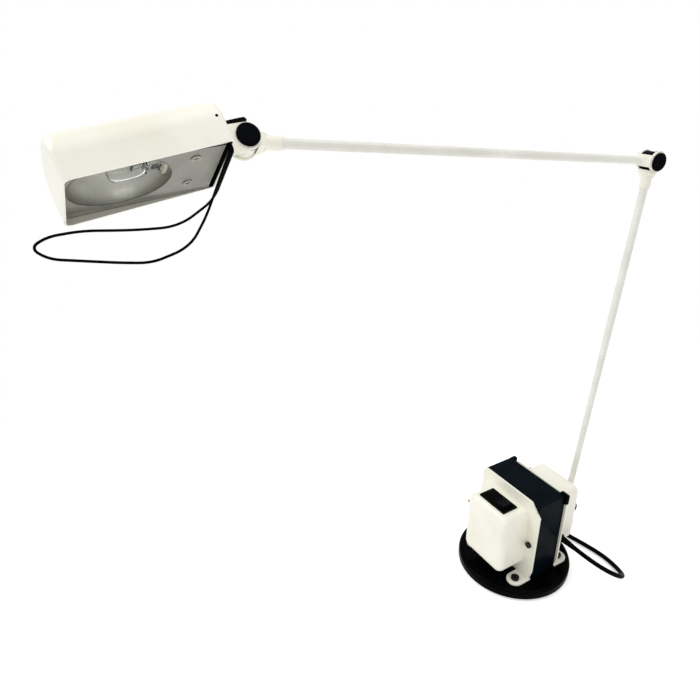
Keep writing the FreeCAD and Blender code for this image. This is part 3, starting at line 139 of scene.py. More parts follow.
class Surface:
    """A material in the making: its node tree, its shader, and object coordinates in metres."""

    def __init__(self, name: str) -> None:
        """Makes an empty material with one principled shader.

        Args:
            name: the material's name.
        """
        self.material = bpy.data.materials.new(name)
        self.material.use_nodes = True
        self.tree = self.material.node_tree
        self.shader = self.tree.nodes["Principled BSDF"]
        self.place = add_node(self.tree, "ShaderNodeTexCoord").outputs["Object"]

    def noise(self, size_mm: float, detail: float = 2.0, rough: float = 0.5) -> Socket:
        """Gives a smooth noise whose features are about the given millimetres wide."""
        sockets = {"Vector": self.place, "Scale": grain(size_mm), "Detail": detail, "Roughness": rough}
        return add_node(self.tree, "ShaderNodeTexNoise", sockets).outputs["Fac"]

    def stretched_noise(self, size_mm: Point, detail: float) -> Socket:
        """Gives a noise whose features have their own width along each axis.

        Args:
            size_mm: the widths along X, Y and Z, in millimetres.
            detail: how many finer layers it has.

        Returns:
            The noise's value.
        """
        scale = [grain(size) for size in size_mm]
        scaled = add_node(self.tree, "ShaderNodeMapping", {"Vector": self.place, "Scale": scale})
        sockets = {"Vector": scaled.outputs["Vector"], "Scale": 1.0, "Detail": detail}
        return add_node(self.tree, "ShaderNodeTexNoise", sockets).outputs["Fac"]

    def bands(self, width_mm: float, axis: str, distortion: float, detail_scale: float = 1.0) -> Socket:
        """Gives bands across an axis, with their run disturbed.

        Args:
            width_mm: how wide one band is, in millimetres.
            axis: the axis that they lie across.
            distortion: how strongly their run is disturbed.
            detail_scale: how fine the disturbance is.

        Returns:
            The bands' value.
        """
        sockets = {
            "Vector": self.place,
            "Scale": grain(width_mm) / WAVE_FACTOR * math.pi,
            "Distortion": distortion,
            "Detail Scale": detail_scale,
        }
        return add_node(self.tree, "ShaderNodeTexWave", sockets, bands_direction=axis).outputs["Fac"]

    def ramp(self, factor: Socket, *stops: tuple[float, Colour]) -> Socket:
        """Gives the colour of a ramp that a socket drives.

        Args:
            factor: the socket that drives it.
            stops: its two stops, each a place from 0 to 1 and a colour.

        Returns:
            The ramp's colour.
        """
        node = add_node(self.tree, "ShaderNodeValToRGB", {"Fac": factor})
        for element, (place, colour) in zip(node.color_ramp.elements, stops):
            element.position = place
            element.color = colour
        return node.outputs["Color"]

    def mixed(self, factor: Socket, first: Any, second: Any) -> Socket:
        """Mixes two colours, each a socket or a linear colour."""
        sockets = {"Factor": factor, 6: first, 7: second}
        return add_node(self.tree, "ShaderNodeMix", sockets, data_type="RGBA").outputs[2]

    def spread(self, source: Socket, low: float, high: float) -> Socket:
        """Maps a noise's middle range to values between low and high."""
        return mapped(self.tree, source, NOISE_MIDDLE, (low, high))

    def bump(self, height: Socket, depth_mm: float, strength: float) -> None:
        """Raises the surface by a height field, over any bump already there.

        Args:
            height: the height field, from 0 to 1.
            depth_mm: how high 1 stands, in millimetres.
            strength: how strongly the bump shows.
        """
        sockets: dict[Any, Any] = {"Height": height, "Distance": depth_mm * MM, "Strength": strength}
        old = self.shader.inputs["Normal"]
        if old.is_linked:
            sockets["Normal"] = old.links[0].from_socket
        node = add_node(self.tree, "ShaderNodeBump", sockets)
        self.tree.links.new(node.outputs["Normal"], old)

    def put(self, **values: Any) -> None:
        """Sets or links the shader's sockets, named with underscores for blanks."""
        for name, value in values.items():
            socket = self.shader.inputs[name.replace("_", " ")]
            if isinstance(value, Socket):
                self.tree.links.new(value, socket)
            else:
                socket.default_value = value


# ---------------- finishes


@dataclass(frozen=True)
class Coating:
    """What every finish has: a name, a main colour and a way to be laid on a surface."""

    name: str
    colour: str

    def material(self) -> bpy.types.Material:
        """Builds the material.

        Returns:
            The material, with this finish laid on it.
        """
        surface = Surface(self.name)
        self.lay(surface)
        return surface.material

    def lay(self, surface: Surface) -> None:
        """Lays the finish on a surface, each kind in its own way."""
        raise NotImplementedError


@dataclass(frozen=True)
class Enamel(Coating):
    """Stove-enamelled steel or aluminium.

    The paint film is thick and satin, with a faint orange peel from the oven and marks from handling.
    """

    shade: str
    rough: float = 0.33
    peel_mm: float = 1.6
    coat: float = 0.25

    def lay(self, surface: Surface) -> None:
        """Lays a tone that drifts over 45 mm, orange peel, and smudges in the gloss.

        Args:
            surface: the material in the making.
        """
        drift = surface.noise(45, 3, 0.55)
        specks = surface.noise(2.2, 2, 0.6)
        tone = surface.ramp(drift, (0.3, linear(self.shade)), (0.62, linear(self.colour)))
        film = surface.mixed(surface.spread(specks, 0.0, 0.10), tone, linear(self.shade))
        smudges = surface.spread(surface.noise(14, 4, 0.6), self.rough - 0.05, self.rough + 0.09)
        surface.put(Base_Color=film, Roughness=smudges)
        surface.put(Coat_Weight=self.coat, Coat_Roughness=0.18, IOR=1.5)
        surface.bump(surface.noise(self.peel_mm, 1, 0.4), 0.02, 0.6)


@dataclass(frozen=True)
class ShadedInside(Coating):
    """The inside of the shade: a pale wash below the reflector plate, and painted shade, near black,
    above it.
    """

    painted_shade: str
    point: Point
    upward: Point
    edge_mm: float = 0.5

    def lay(self, surface: Surface) -> None:
        """Lays a pale wash up to the plate that turns to painted shade beyond it, over half a
        millimetre.

        Args:
            surface: the material in the making.
        """
        tree, kind = surface.tree, "ShaderNodeVectorMath"
        start = add_node(tree, kind, {0: surface.place, 1: self.point}, operation="SUBTRACT")
        ends = {0: start.outputs["Vector"], 1: self.upward}
        along = add_node(tree, kind, ends, operation="DOT_PRODUCT")
        # the share of painted shade: 0 at the plate, 1 half a millimetre above it
        painted_shade_share = mapped(tree, along.outputs["Value"], (0.0, self.edge_mm * MM), (0.0, 1.0))
        wash = surface.mixed(painted_shade_share, linear(self.colour), linear(self.painted_shade))
        surface.put(Base_Color=wash, Roughness=surface.spread(surface.noise(9, 3), 0.45, 0.6))
        surface.put(Specular_IOR_Level=0.1)


@dataclass(frozen=True)
class GlossPaint(Coating):
    """Black gloss lacquer on cast metal: deep and mirror-like, with dust and fine rubbed streaks."""

    rough: float = 0.16
    shine: float = 0.014
    dust: str = "050608"

    def lay(self, surface: Surface) -> None:
        """Lays a near-black film, faint dust, and roughness that rises where it was rubbed.

        Args:
            surface: the material in the making.
        """
        dusty = surface.noise(3.0, 4, 0.7)
        colour = surface.ramp(dusty, (0.45, linear(self.colour)), (0.95, linear(self.dust)))
        rubbed = surface.spread(surface.noise(22, 5, 0.65), self.rough - 0.04, self.rough + 0.12)
        surface.put(Base_Color=colour, Roughness=rubbed, Specular_IOR_Level=self.shine)
        surface.put(Coat_Weight=0.01, Coat_Roughness=0.08)
        surface.bump(surface.noise(2.4, 1, 0.3), 0.012, 0.5)


@dataclass(frozen=True)
class Lacquer(Coating):
    """Dipped insulating lacquer over stacked steel sheets.

    It dries to a dark blue-black satin film, and the sheets' edges show through it as fine lines.
    """

    tint: str
    sheet_mm: float = 1.4  # real sheets are 0.5 mm, drawn coarser so that they show
    shine: float = 0.014

    def lay(self, surface: Surface) -> None:
        """Lays bands across the stack, broken by noise, under a satin film.

        Args:
            surface: the material in the making.
        """
        bands = surface.bands(self.sheet_mm, "Y", 0.6, 1.5)
        runs = surface.noise(30, 4, 0.6)
        tone = surface.ramp(runs, (0.35, linear(self.colour)), (0.75, linear(self.tint)))
        surface.put(Base_Color=tone, Roughness=surface.spread(surface.noise(9, 4), 0.24, 0.42))
        surface.put(Specular_IOR_Level=self.shine, Coat_Weight=0.01, Coat_Roughness=0.2)
        surface.bump(bands, 0.04, 0.45)
        surface.bump(surface.noise(5, 3), 0.05, 0.4)


@dataclass(frozen=True)
class Metal(Coating):
    """Bare metal: rolled, drawn or plated, with fine lines along the way it was worked."""

    rough: float
    lines_mm: Point = (0.35, 0.35, 8.0)
    depth_mm: float = 0.006
    metallic: float = 1.0

    def lay(self, surface: Surface) -> None:
        """Lays a tone and a gloss that are broken along the working lines.

        Args:
            surface: the material in the making.
        """
        lines = surface.stretched_noise(self.lines_mm, 3)
        drift = surface.noise(18, 3)
        tone = surface.ramp(drift, (0.3, toned(self.colour, 0.82)), (0.65, linear(self.colour)))
        surface.put(Base_Color=tone, Metallic=self.metallic)
        surface.put(Roughness=surface.spread(lines, self.rough - 0.06, self.rough + 0.08))
        surface.bump(lines, self.depth_mm, 0.7)


@dataclass(frozen=True)
class Moulded(Coating):
    """Injection-moulded plastic: an even colour with a fine spark-eroded grain."""

    rough: float
    grain_mm: float
    depth_mm: float
    shine: float = 0.015

    def lay(self, surface: Surface) -> None:
        """Lays the grain as a bump, with worn gloss on top.

        Args:
            surface: the material in the making.
        """
        worn = surface.spread(surface.noise(8, 4, 0.6), self.rough - 0.08, self.rough + 0.08)
        stops = (0.35, linear(self.colour)), (0.9, toned(self.colour, 1.5, 0.001))
        tone = surface.ramp(surface.noise(5, 3), *stops)
        surface.put(Base_Color=tone, Roughness=worn, Specular_IOR_Level=self.shine)
        surface.bump(surface.noise(self.grain_mm, 2, 0.6), self.depth_mm, 0.6)


@dataclass(frozen=True)
class Ceramic(Coating):
    """Unglazed steatite: chalky off-white with fine pores and a few tan firing marks."""

    stain: str

    def lay(self, surface: Surface) -> None:
        """Lays pores as a bump, and stains from heat.

        Args:
            surface: the material in the making.
        """
        stain = surface.noise(6, 4, 0.65)
        tone = surface.ramp(stain, (0.35, linear(self.colour)), (0.8, linear(self.stain)))
        surface.put(Base_Color=tone, Roughness=surface.spread(surface.noise(3, 2), 0.6, 0.8))
        surface.bump(surface.noise(0.5, 3, 0.7), 0.03, 0.7)


@dataclass(frozen=True)
class Quartz(Coating):
    """Clear fused quartz, drawn and pinched hot: fine waves and a trace of grey."""

    def lay(self, surface: Surface) -> None:
        """Lays a clear, thin and slightly wavy glass.

        Args:
            surface: the material in the making.
        """
        surface.put(Base_Color=linear(self.colour), Transmission_Weight=1.0, IOR=1.46)
        surface.put(Roughness=surface.spread(surface.noise(3, 2), 0.02, 0.07))
        surface.bump(surface.noise(2.5, 2), 0.08, 0.8)


@dataclass(frozen=True)
class WoundWire(Coating):
    """Enamelled copper wire wound in layers under clear tape, with painted shade in the grooves between
    turns.
    """

    painted_groove_shade: str
    wire_mm: float = 0.9

    def lay(self, surface: Surface) -> None:
        """Lays close bands up the coil, copper under amber enamel, darkened by painted shade between
        turns.

        Args:
            surface: the material in the making.
        """
        bands = surface.bands(self.wire_mm, "Z", 0.3)
        # the dark stop is painted shade in the grooves between the turns
        tone = surface.ramp(bands, (0.1, linear(self.painted_groove_shade)), (0.8, linear(self.colour)))
        surface.put(Base_Color=tone, Metallic=0.4, Roughness=0.4)
        surface.bump(bands, 0.2, 0.8)


class Finish(Enum):
    """Every finish on the lamp, each named for what it is on the real object, or for the shade it
    paints.
    """

    CREAM_ENAMEL = Enamel("cream_stove_enamel", "f3f1e4", "ebe8d8")
    ARM_ENAMEL = Enamel("arm_stove_enamel", "ecebe3", "dcdad0", rough=0.3, peel_mm=1.2)
    BLACK_GLOSS = GlossPaint("black_gloss_lacquer", "020203")
    CORE_LACQUER = Lacquer("core_insulating_lacquer", "02070d", "06141b")
    SATIN_REFLECTOR = Metal("satin_anodised_aluminium", "93928a", 0.5, (0.5, 0.5, 10.0), 0.008, 0.7)
    FOLD_EDGE = Metal("folded_aluminium_edge", "a9a89f", 0.45, (0.5, 0.5, 10.0), 0.006, 0.6)
    BRIGHT_REFLECTOR = Metal("bright_spun_aluminium", "adada4", 0.42, (3.0, 3.0, 3.0), 0.01, 0.9)
    ZINC_STEEL = Metal("zinc_plated_steel", "9b998f", 0.4, (0.6, 0.6, 0.6), 0.01)
    BLACKED_STEEL = Metal("oil_blacked_steel", "1c1c1e", 0.38, (0.6, 0.6, 0.6), 0.01, 0.7)
    PIN_BRASS = Metal("nickel_plated_brass", "cfc6b0", 0.22, (0.4, 0.4, 6.0), 0.005)
    TUNGSTEN = Metal("tungsten_wire", "6d6a66", 0.45, (0.2, 0.2, 0.2), 0.01)
    BLACK_NYLON = Moulded("black_glass_filled_nylon", "060607", 0.42, 0.7, 0.03)
    CAP_PLASTIC = Moulded("black_gloss_cap_plastic", "020306", 0.2, 1.4, 0.006)
    SWITCH_PLASTIC = Moulded("black_rocker_polycarbonate", "040405", 0.3, 1.0, 0.01)
    CORD_SHEATH = Moulded("black_pvc_sheath", "060607", 0.38, 1.2, 0.02)
    PAD_RUBBER = Moulded("black_sheet_rubber", "101011", 0.8, 0.8, 0.05)
    WIRE_SLEEVE = Moulded("black_sleeved_wire", "030304", 0.5, 1.6, 0.001)
    # painted shadow: black for the shaded gap beside the reflector plate
    BLACK_FELT = Moulded("painted_gap_shadow_black", "050505", 0.95, 0.5, 0.06)
    STEATITE = Ceramic("unglazed_steatite", "d8d2c4", "b39a78")
    QUARTZ_GLASS = Quartz("clear_fused_quartz", "f4f6f4")
    # 2e1408 is painted shade in the grooves between the winding's turns
    COPPER_WINDING = WoundWire("enamelled_copper_winding", "7a3c18", "2e1408")

    def made(self) -> bpy.types.Material:
        """Gives the finish's material, built once."""
        found = bpy.data.materials.get(self.value.name)
        return found if found else self.value.material()


def dress(finish: Finish, *nodes: str) -> None:
    """Gives carried-over CAD nodes a finish.

    Args:
        finish: the finish.
        nodes: the nodes' names.
    """
    for name in nodes:
        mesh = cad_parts[name].data
        mesh.materials.clear()
        mesh.materials.append(finish.made())
        LOG.info("dressed %s in %s", name, finish.value.name)


# ---------------- frames of the moving bodies


def turned(axis: str, degrees: float) -> Matrix:
    """Gives a turn about one axis."""
    return Matrix.Rotation(math.radians(degrees), 4, axis)


def shifted(x: float, y: float, z: float) -> Matrix:
    """Gives a shift in millimetres, in a frame measured in millimetres."""
    return Matrix.Translation((x, y, z))


@dataclass(frozen=True)
class Pose:
    """The rest pose of the arms and head, from the solids' sizes, in millimetres and degrees."""

    pivot_y: float = 78.0
    pivot_z: float = 45.8
    yaw: float = -5.5
    lean: float = -4.0
    lower_arm: float = 388.3
    bend: float = 88.05
    upper_arm: float = 380.3
    twist: float = 34.75
    tilt: float = 16.2

    def head(self) -> Matrix:
        """Gives the head's frame: +Z forward, opening towards -Y.

        Returns:
            The matrix from the head's own frame to the scene's.
        """
        arm = shifted(0, self.pivot_y, self.pivot_z) @ turned("Z", self.yaw) @ turned("X", self.lean)
        upper = arm @ shifted(0, 0, self.lower_arm) @ turned("X", self.bend)
        return upper @ shifted(0, 0, self.upper_arm) @ turned("Z", self.twist) @ turned("X", self.tilt)


# ---------------- surfaces from arrays


def as_points(x: Array, y: Array, z: Array) -> Array:
    """Gives the points of three grids, widened to one shape: a row of x, y and z for each."""
    return np.stack(np.broadcast_arrays(x, y, z), axis=-1).reshape(-1, 3)


def smooth_step(share: Array) -> Array:
    """Gives t * t * (3 - 2 t), where t is the share held between 0 and 1: level at both ends."""
    held = np.clip(share, 0, 1)
    return held * held * (3 - 2 * held)


def signed_power(value: Array, power: Any) -> Array:
    """Gives the value's size to a power, with the value's sign."""
    return np.sign(value) * np.abs(value) ** power


def turn_angles(steps: int) -> Array:
    """Gives the angles of so many points spread evenly round a circle."""
    return np.linspace(0, 2 * np.pi, steps, endpoint=False)


def shown(name: str, data: bpy.types.ID) -> Piece:
    """Makes an object of the given data and links it to the scene.

    Args:
        name: the piece's name.
        data: what it is made of, such as a mesh or a curve.

    Returns:
        The new object.
    """
    made = bpy.data.objects.new(name, data)
    bpy.context.scene.collection.objects.link(made)
    LOG.info("made %s", name)
    return made


def grid_faces(rows: int, columns: int, wrap: bool) -> Faces:
    """Gives the quads of a grid of points stored row by row.

    Args:
        rows: how many rows.
        columns: how many points in a row.
        wrap: True where the last column joins the first.

    Returns:
        Four point numbers for each quad.
    """
    last = columns if wrap else columns - 1
    row, column = np.meshgrid(np.arange(rows - 1), np.arange(last), indexing="ij")
    here = row * columns + column
    right = row * columns + (column + 1) % columns
    return np.stack([here, right, right + columns, here + columns], axis=-1).reshape(-1, 4).tolist()


def tube_faces(rows: int, columns: int) -> Faces:
    """Gives the faces of a grid whose rows are rings, with its first and last ring filled.

    Args:
        rows: how many rings.
        columns: how many points in a ring.

    Returns:
        The point numbers of each face.
    """
    count = rows * columns
    ends = [list(range(columns)), list(range(count - columns, count))]
    return grid_faces(rows, columns, True) + ends


def settle(mesh: bpy.types.Mesh, finish: Finish, merge: float, smooth: bool) -> None:
    """Merges a mesh's doubles, points its faces outwards, and sets its shading and its finish.

    Args:
        mesh: the mesh.
        finish: its finish.
        merge: how near, in metres, points are one.
        smooth: True for smooth shading.
    """
    work = bmesh.new()
    work.from_mesh(mesh)
    bmesh.ops.remove_doubles(work, verts=work.verts, dist=merge)
    bmesh.ops.recalc_face_normals(work, faces=work.faces)
    work.to_mesh(mesh)
    work.free()
    mesh.polygons.foreach_set("use_smooth", [smooth] * len(mesh.polygons))
    mesh.materials.clear()
    mesh.materials.append(finish.made())


def surface_piece(
    name: str, points: Array, faces: Faces, place: Matrix, finish: Finish, smooth: bool = True
) -> Piece:
    """Makes a mesh object from arrays in millimetres, with its place in its mesh.

    Args:
        name: the piece's name.
        points: an array of points, one row each.
        faces: the faces' point numbers.
        place: the frame that the points are in.
        finish: the piece's finish.
        smooth: True for smooth shading.

    Returns:
        The new object.
    """
    matrix = np.array(place)
    world = (points @ matrix[:3, :3].T + matrix[:3, 3]) * MM
    mesh = bpy.data.meshes.new(name)
    mesh.from_pydata(world.tolist(), [], faces)
    settle(mesh, finish, MERGE, smooth)
    return shown(name, mesh)


def tube_piece(
    name: str, centre: Array, radius: float, place: Matrix, finish: Finish, steps: int
) -> Piece:
    """Carries a circle along a line of points, square to it, and closes both ends.

    Args:
        name: the piece's name.
        centre: the line's points in millimetres.
        radius: the tube's radius in millimetres.
        place: the frame that the line is in.
        finish: the piece's finish.
        steps: how many points round the circle.

    Returns:
        The new object.
    """
    way = np.gradient(centre, axis=0)
    way /= np.linalg.norm(way, axis=1, keepdims=True)
    leaning = np.array([0.13, 0.31, 0.94])  # no stretch of the line runs along it
    side = np.cross(way, leaning)
    side /= np.linalg.norm(side, axis=1, keepdims=True)
    over = np.cross(side, way)
    angle = turn_angles(steps)[None, :, None]
    across = np.cos(angle) * side[:, None, :] + np.sin(angle) * over[:, None, :]
    points = (centre[:, None, :] + radius * across).reshape(-1, 3)
    return surface_piece(name, points, tube_faces(len(centre), steps), place, finish)


# ---------------- sub-assemblies


@dataclass
class CounterweightBase:
    """The round base and the transformer that stands on it as the counterweight."""

    switch_place: Point = (0.0, -34.8, 99.8)
    rocker_tilt: float = -5.0
    rocker_depth: float = 1.8
    rocker_half: Span = (14.85, 6.35)
    rocker_edge: float = 0.35
    clip_round: float = 0.3
    clips: tuple[tuple[str, Point, Point], ...] = (
        ("core_corner_clip_left", (-38.2, 23.6, 106.2), (2.4, 3.6, 3.2)),
        ("core_corner_clip_right", (38.0, 21.4, 105.2), (5.2, 2.0, 6.2)),
    )

    def build(self) -> None:
        """Dresses the base, the core, its covers, the fastenings and the switch."""
        dress(Finish.BLACK_GLOSS, "base_disc")
        dress(Finish.PAD_RUBBER, "base_pad")
        dress(Finish.CORE_LACQUER, "core_laminations")
        dress(Finish.COPPER_WINDING, "winding")
        dress(Finish.CREAM_ENAMEL, "front_bell_cover", "rear_bell_cover", "rear_bracket")
        dress(Finish.BLACKED_STEEL, "clamp_bolts", "clamp_nuts", "foot_screws")
        dress(Finish.BLACKED_STEEL, "bracket_screws", "swivel_nut")
        dress(Finish.SWITCH_PLASTIC, "switch_bezel")
        self.rocker()
        self.corner_clips()

    def corner_clips(self) -> None:
        """Makes the two black clips that hold the core's rear top corners: rounded blocks.

        Each is a superellipsoid. At height angle a and round angle b, x is the half-width times
        c(a) c(b), y the half-depth times c(a) s(b) and z the half-height times s(a), where c and s are
        the cosine and sine with their sizes to the power clip_round.
        """
        a, b = np.meshgrid(np.linspace(-np.pi / 2, np.pi / 2, 17), turn_angles(32), indexing="ij")
        parts = (np.cos(a), np.sin(a), np.cos(b), np.sin(b))
        cos_a, sin_a, cos_b, sin_b = (signed_power(part, self.clip_round) for part in parts)
        faces = grid_faces(*a.shape, True)
        for name, middle, half in self.clips:
            points = as_points(cos_a * cos_b * half[0], cos_a * sin_b * half[1], sin_a * half[2])
            clip = surface_piece(name, points, faces, shifted(*middle), Finish.CORE_LACQUER)
            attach(clip, "base")

    def rocker(self) -> None:
        """Makes the rocker's paddle: a dished top over a curved belly.

        Over the paddle's length u and width v (both -1 to 1) the top's height is
        1.9 + 2.5 |u|^1.6 - 0.35 |v|^8 - 0.5 |u|^20, so that it dips in the middle, lifts to both ends
        and falls away at its edges. The belly is a shallow arc, -1 - 4.5 (1 - u^2)^0.7.
        """
        half_x, half_y = self.rocker_half
        u, v = np.meshgrid(np.linspace(-1, 1, 41), np.linspace(-1, 1, 13), indexing="ij")
        top = 2.5 * np.abs(u) ** 1.6 + 1.9 - 0.35 * np.abs(v) ** 8 - 0.5 * np.abs(u) ** 20
        belly = -1.0 - 4.5 * (1 - u**2) ** 0.7
        points = np.concatenate([as_points(u * half_x, v * half_y, height) for height in (top, belly)])
        rows, columns = u.shape
        faces = grid_faces(rows, columns, False)
        count = rows * columns
        faces += [[i + count for i in f] for f in faces]
        rim = [i * columns for i in range(rows)]
        rim += [(rows - 1) * columns + j for j in range(1, columns)]
        rim += [i * columns + columns - 1 for i in range(rows - 2, -1, -1)]
        rim += list(range(columns - 2, 0, -1))
        faces += [[a, b, b + count, a + count] for a, b in zip(rim, rim[1:] + rim[:1])]
        x, y, z = self.switch_place
        place = shifted(x, y, z - self.rocker_depth) @ turned("Y", self.rocker_tilt)
        piece = surface_piece("rocker_paddle", points, faces, place, Finish.SWITCH_PLASTIC, False)
        modifier = piece.modifiers.new("edge", "BEVEL")
        modifier.width = self.rocker_edge * MM
        modifier.segments = 2
        modifier.limit_method = "ANGLE"
        modifier.angle_limit = math.radians(50)  # only the rim is sharper
        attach(piece, "rocker")
        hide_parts("switch_rocker")


@dataclass
class FoldingArms:
    """The two thin tube arms, their fittings and the three knuckles."""

    knuckles: tuple[str, ...] = ("base", "elbow", "head")

    def build(self) -> None:
        """Dresses the tubes, the fittings and each knuckle's drum, washer and caps."""
        dress(Finish.ARM_ENAMEL, "lower_arm_tube", "upper_arm_tube", "upper_arm_step_ring")
        dress(Finish.CREAM_ENAMEL, "lower_arm_foot_fitting", "lower_arm_elbow_fitting")
        dress(Finish.CREAM_ENAMEL, "upper_arm_elbow_fitting", "head_collar_fitting")
        dress(Finish.CREAM_ENAMEL, "swivel_fitting", "head_bracket")
        for knuckle in self.knuckles:
            drum = Finish.CREAM_ENAMEL if knuckle == "head" else Finish.BLACK_NYLON
            dress(drum, f"{knuckle}_drum")
            dress(Finish.BLACK_NYLON, f"{knuckle}_washer")
            dress(Finish.CAP_PLASTIC, f"{knuckle}_pivot_bolt", f"{knuckle}_pivot_nut")


@dataclass
class LampHead:
    """The enamelled shade with its reflector, capsule lamp and wire handle."""

    place: Matrix = field(default_factory=lambda: Pose().head())
    knuckle_to_rear: float = 20.0
    opening: float = -11.7
    shade_depth: float = 33.7
    shade_middle: float = 50.0
    bulb_axis: float = 0.1
    pinch_start: float = 57.0
    pinch_length: float = 9.0
    pinch_half: Span = (5.2, 1.9)
    pinch_flatness: float = 0.45
    shoulder_drop: float = 1.0
    bulb_length: float = 25.0
    bulb_radius: float = 5.75
    bulb_wall: float = 0.7
    inner_gaps: Span = (2.5, 0.9)
    tip_share: float = 1.05
    neck_length: float = 4.0
    filament_rise: float = 9.2
    filament_turns: int = 9
    filament_length: float = 5.0
    coil_radius: float = 0.62
    wire_radius: float = 0.16
    foot_half: float = 2.0
    foot_depth: float = 3.0
    plate_slope: float = 3.65
    plate_face: float = 0.4
    bowl_middle: float = 65.0
    bowl_half: Span = (27.5, 31.0)
    plate_half: float = 29.2
    plate_span: Span = (4.6, 96.8)
    fold_start: float = 0.15
    fold_slope: float = 2.55
    fold_thickness: float = 0.5
    fold_root: float = 0.6
    # the black strip of painted shadow along the plate's near edge
    shadow_strip_width: float = 2.0
    shadow_strip_gap: float = 0.02
    shadow_strip_span: Span = (-0.15, 0.1)
    bead_radius: float = 0.25
    bead_gap: float = 0.1
    bead_sink: float = 0.05
    sleeve_wall: float = 0.12

    def build(self) -> None:
        """Dresses the head's solids and makes the lamp, its filament and the bowl's rim."""
        dress(Finish.CREAM_ENAMEL, "shade")
        self.shade_inside()
        dress(Finish.SATIN_REFLECTOR, "reflector_plate")
        dress(Finish.BRIGHT_REFLECTOR, "reflector_bowl")
        dress(Finish.ZINC_STEEL, "plate_screws", "plate_posts", "head_bracket_screws", "bulb_pins")
        dress(Finish.STEATITE, "lamp_holder")
        dress(Finish.BLACK_NYLON, "cable_cover", "handle_clip")
        self.wire_sleeve()
        self.capsule()
        self.filament()
        self.bowl_rim()
        self.folded_edges()
        self.gap_shadow_strip()

    def shade_inside(self) -> None:
        """Gives the shade's inward faces their own finish: a pale wash, with painted shade above the
        plate.

        A face is inward where its normal points to the middle of the shade. The lip, which is square to
        the opening, isn't, but faces like it above the plate are.
        """
        middle = self.metres(self.fold_line(self.bowl_middle), self.bowl_middle)
        hollow = self.metres(self.opening + self.shade_depth / 2, self.shade_middle)
        upward = np.array(self.place)[:3, 1]
        slope = np.array(self.place @ turned("X", -self.fold_slope))[:3, 1]
        # 050505 is painted shade for the inside of the shade above the plate
        inside = ShadedInside("shade_inside_wash", "b9b7ab", "050505", tuple(middle), tuple(slope))
        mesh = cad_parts["shade"].data
        mesh.materials.append(inside.material())
        count = len(mesh.polygons)
        normal, centre = np.empty(count * 3), np.empty(count * 3)
        mesh.polygons.foreach_get("normal", normal)
        mesh.polygons.foreach_get("center", centre)
        normal, centre = normal.reshape(-1, 3), centre.reshape(-1, 3)
        outward = np.einsum("ij,ij->i", normal, centre - hollow)
        lip = np.abs(normal @ upward) > 0.99
        above = (centre - middle) @ upward > 0
        inward = (outward < 0) & (~lip | above)
        mesh.polygons.foreach_set("material_index", inward.astype(np.int32))

    def metres(self, height: float, along: float) -> Array:
        """Gives a place on the head's middle plane, so far from the shade's rear, in metres."""
        place = np.array(self.place) @ np.array([0.0, height, self.knuckle_to_rear + along, 1.0])
        return place[:3] * MM

    def fold_line(self, along: Any) -> Any:
        """Gives the height of the folds' free edges, so far from the shade's rear."""
        return self.opening + self.fold_start + math.tan(math.radians(self.fold_slope)) * along

    def plate_line(self, start: float, along: Any) -> Any:
        """Gives the height of a line that climbs with the plate from so far above the opening."""
        return self.opening + start + math.tan(math.radians(self.plate_slope)) * along

    def strip(self, name: str, corners: Sequence[Any], finish: Finish) -> Piece:
        """Makes a ruled box that runs along the plate, with its rows where rows_along says.

        Args:
            name: the strip's name.
            corners: for each of its four long edges, the place across the shade and the heights.
            finish: the strip's finish.

        Returns:
            The new object.
        """
        z = self.knuckle_to_rear + self.rows_along()[:, None]
        across, heights = zip(*corners)
        points = as_points(np.array(across), np.stack(heights, axis=1), z)
        return surface_piece(name, points, tube_faces(len(z), len(corners)), self.place, finish, False)

    def rows_along(self) -> Array:
        """Gives the distances from the shade's rear at which the plate's strips have their rows."""
        first, last = self.plate_span
        return first + np.linspace(0, 1, 33) * (last - first)

    def folded_edges(self) -> None:
        """Makes the plate's two folded long edges: strips from the plate down to the folds' free edges.

        At distance d from the shade's rear the upper corners lie in the plate's sheet, at opening +
        fold_root + d tan(plate_slope), and the lower ones at opening + fold_start + d tan(fold_slope).
        """
        high = self.plate_line(self.fold_root, self.rows_along())
        low = self.fold_line(self.rows_along())
        for name, side in (("left", -1.0), ("right", 1.0)):
            inner, outer = side * (self.plate_half - self.fold_thickness), side * self.plate_half
            corners = [(inner, high), (inner, low), (outer, low), (outer, high)]
            strip = self.strip(f"plate_fold_{name}", corners, Finish.FOLD_EDGE)
            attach(strip, "head")

    def gap_shadow_strip(self) -> None:
        """Makes a thin black band along the plate's near long edge: painted shadow for the gap
        between the plate and the shade's wall.

        It spans shadow_strip_span about the plate's face, opening + plate_face + distance *
        tan(plate_slope).
        """
        face = self.plate_line(self.plate_face, self.rows_along())
        low, high = (face + step for step in self.shadow_strip_span)
        outer = self.plate_half - self.fold_thickness - self.shadow_strip_gap
        inner = outer - self.shadow_strip_width
        corners = [(inner, high), (inner, low), (outer, low), (outer, high)]
        # a black strip painted where the gap between the plate and the shade's wall lies in shadow
        strip = self.strip("plate_painted_gap_shadow", corners, Finish.BLACK_FELT)
        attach(strip, "head")

    def wire_sleeve(self) -> None:
        """Makes the wire handle in its black sleeve: the wire's surface moved out along its normals."""
        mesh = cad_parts["wire_handle"].data.copy()
        mesh.name = "sleeved_wire_handle"
        settle(mesh, Finish.WIRE_SLEEVE, 10 * MERGE, True)
        count = len(mesh.vertices)
        points, normals = np.empty(count * 3), np.empty(count * 3)
        mesh.vertices.foreach_get("co", points)
        mesh.vertex_normals.foreach_get("vector", normals)
        mesh.vertices.foreach_set("co", points + normals * self.sleeve_wall * MM)
        sleeve = shown("sleeved_wire_handle", mesh)
        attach(sleeve, "head")
        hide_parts("wire_handle")

    def bulb_place(self) -> Matrix:
        """Gives the lamp's frame, with its axis along Z."""
        return self.place @ shifted(0, self.bulb_axis, 0)

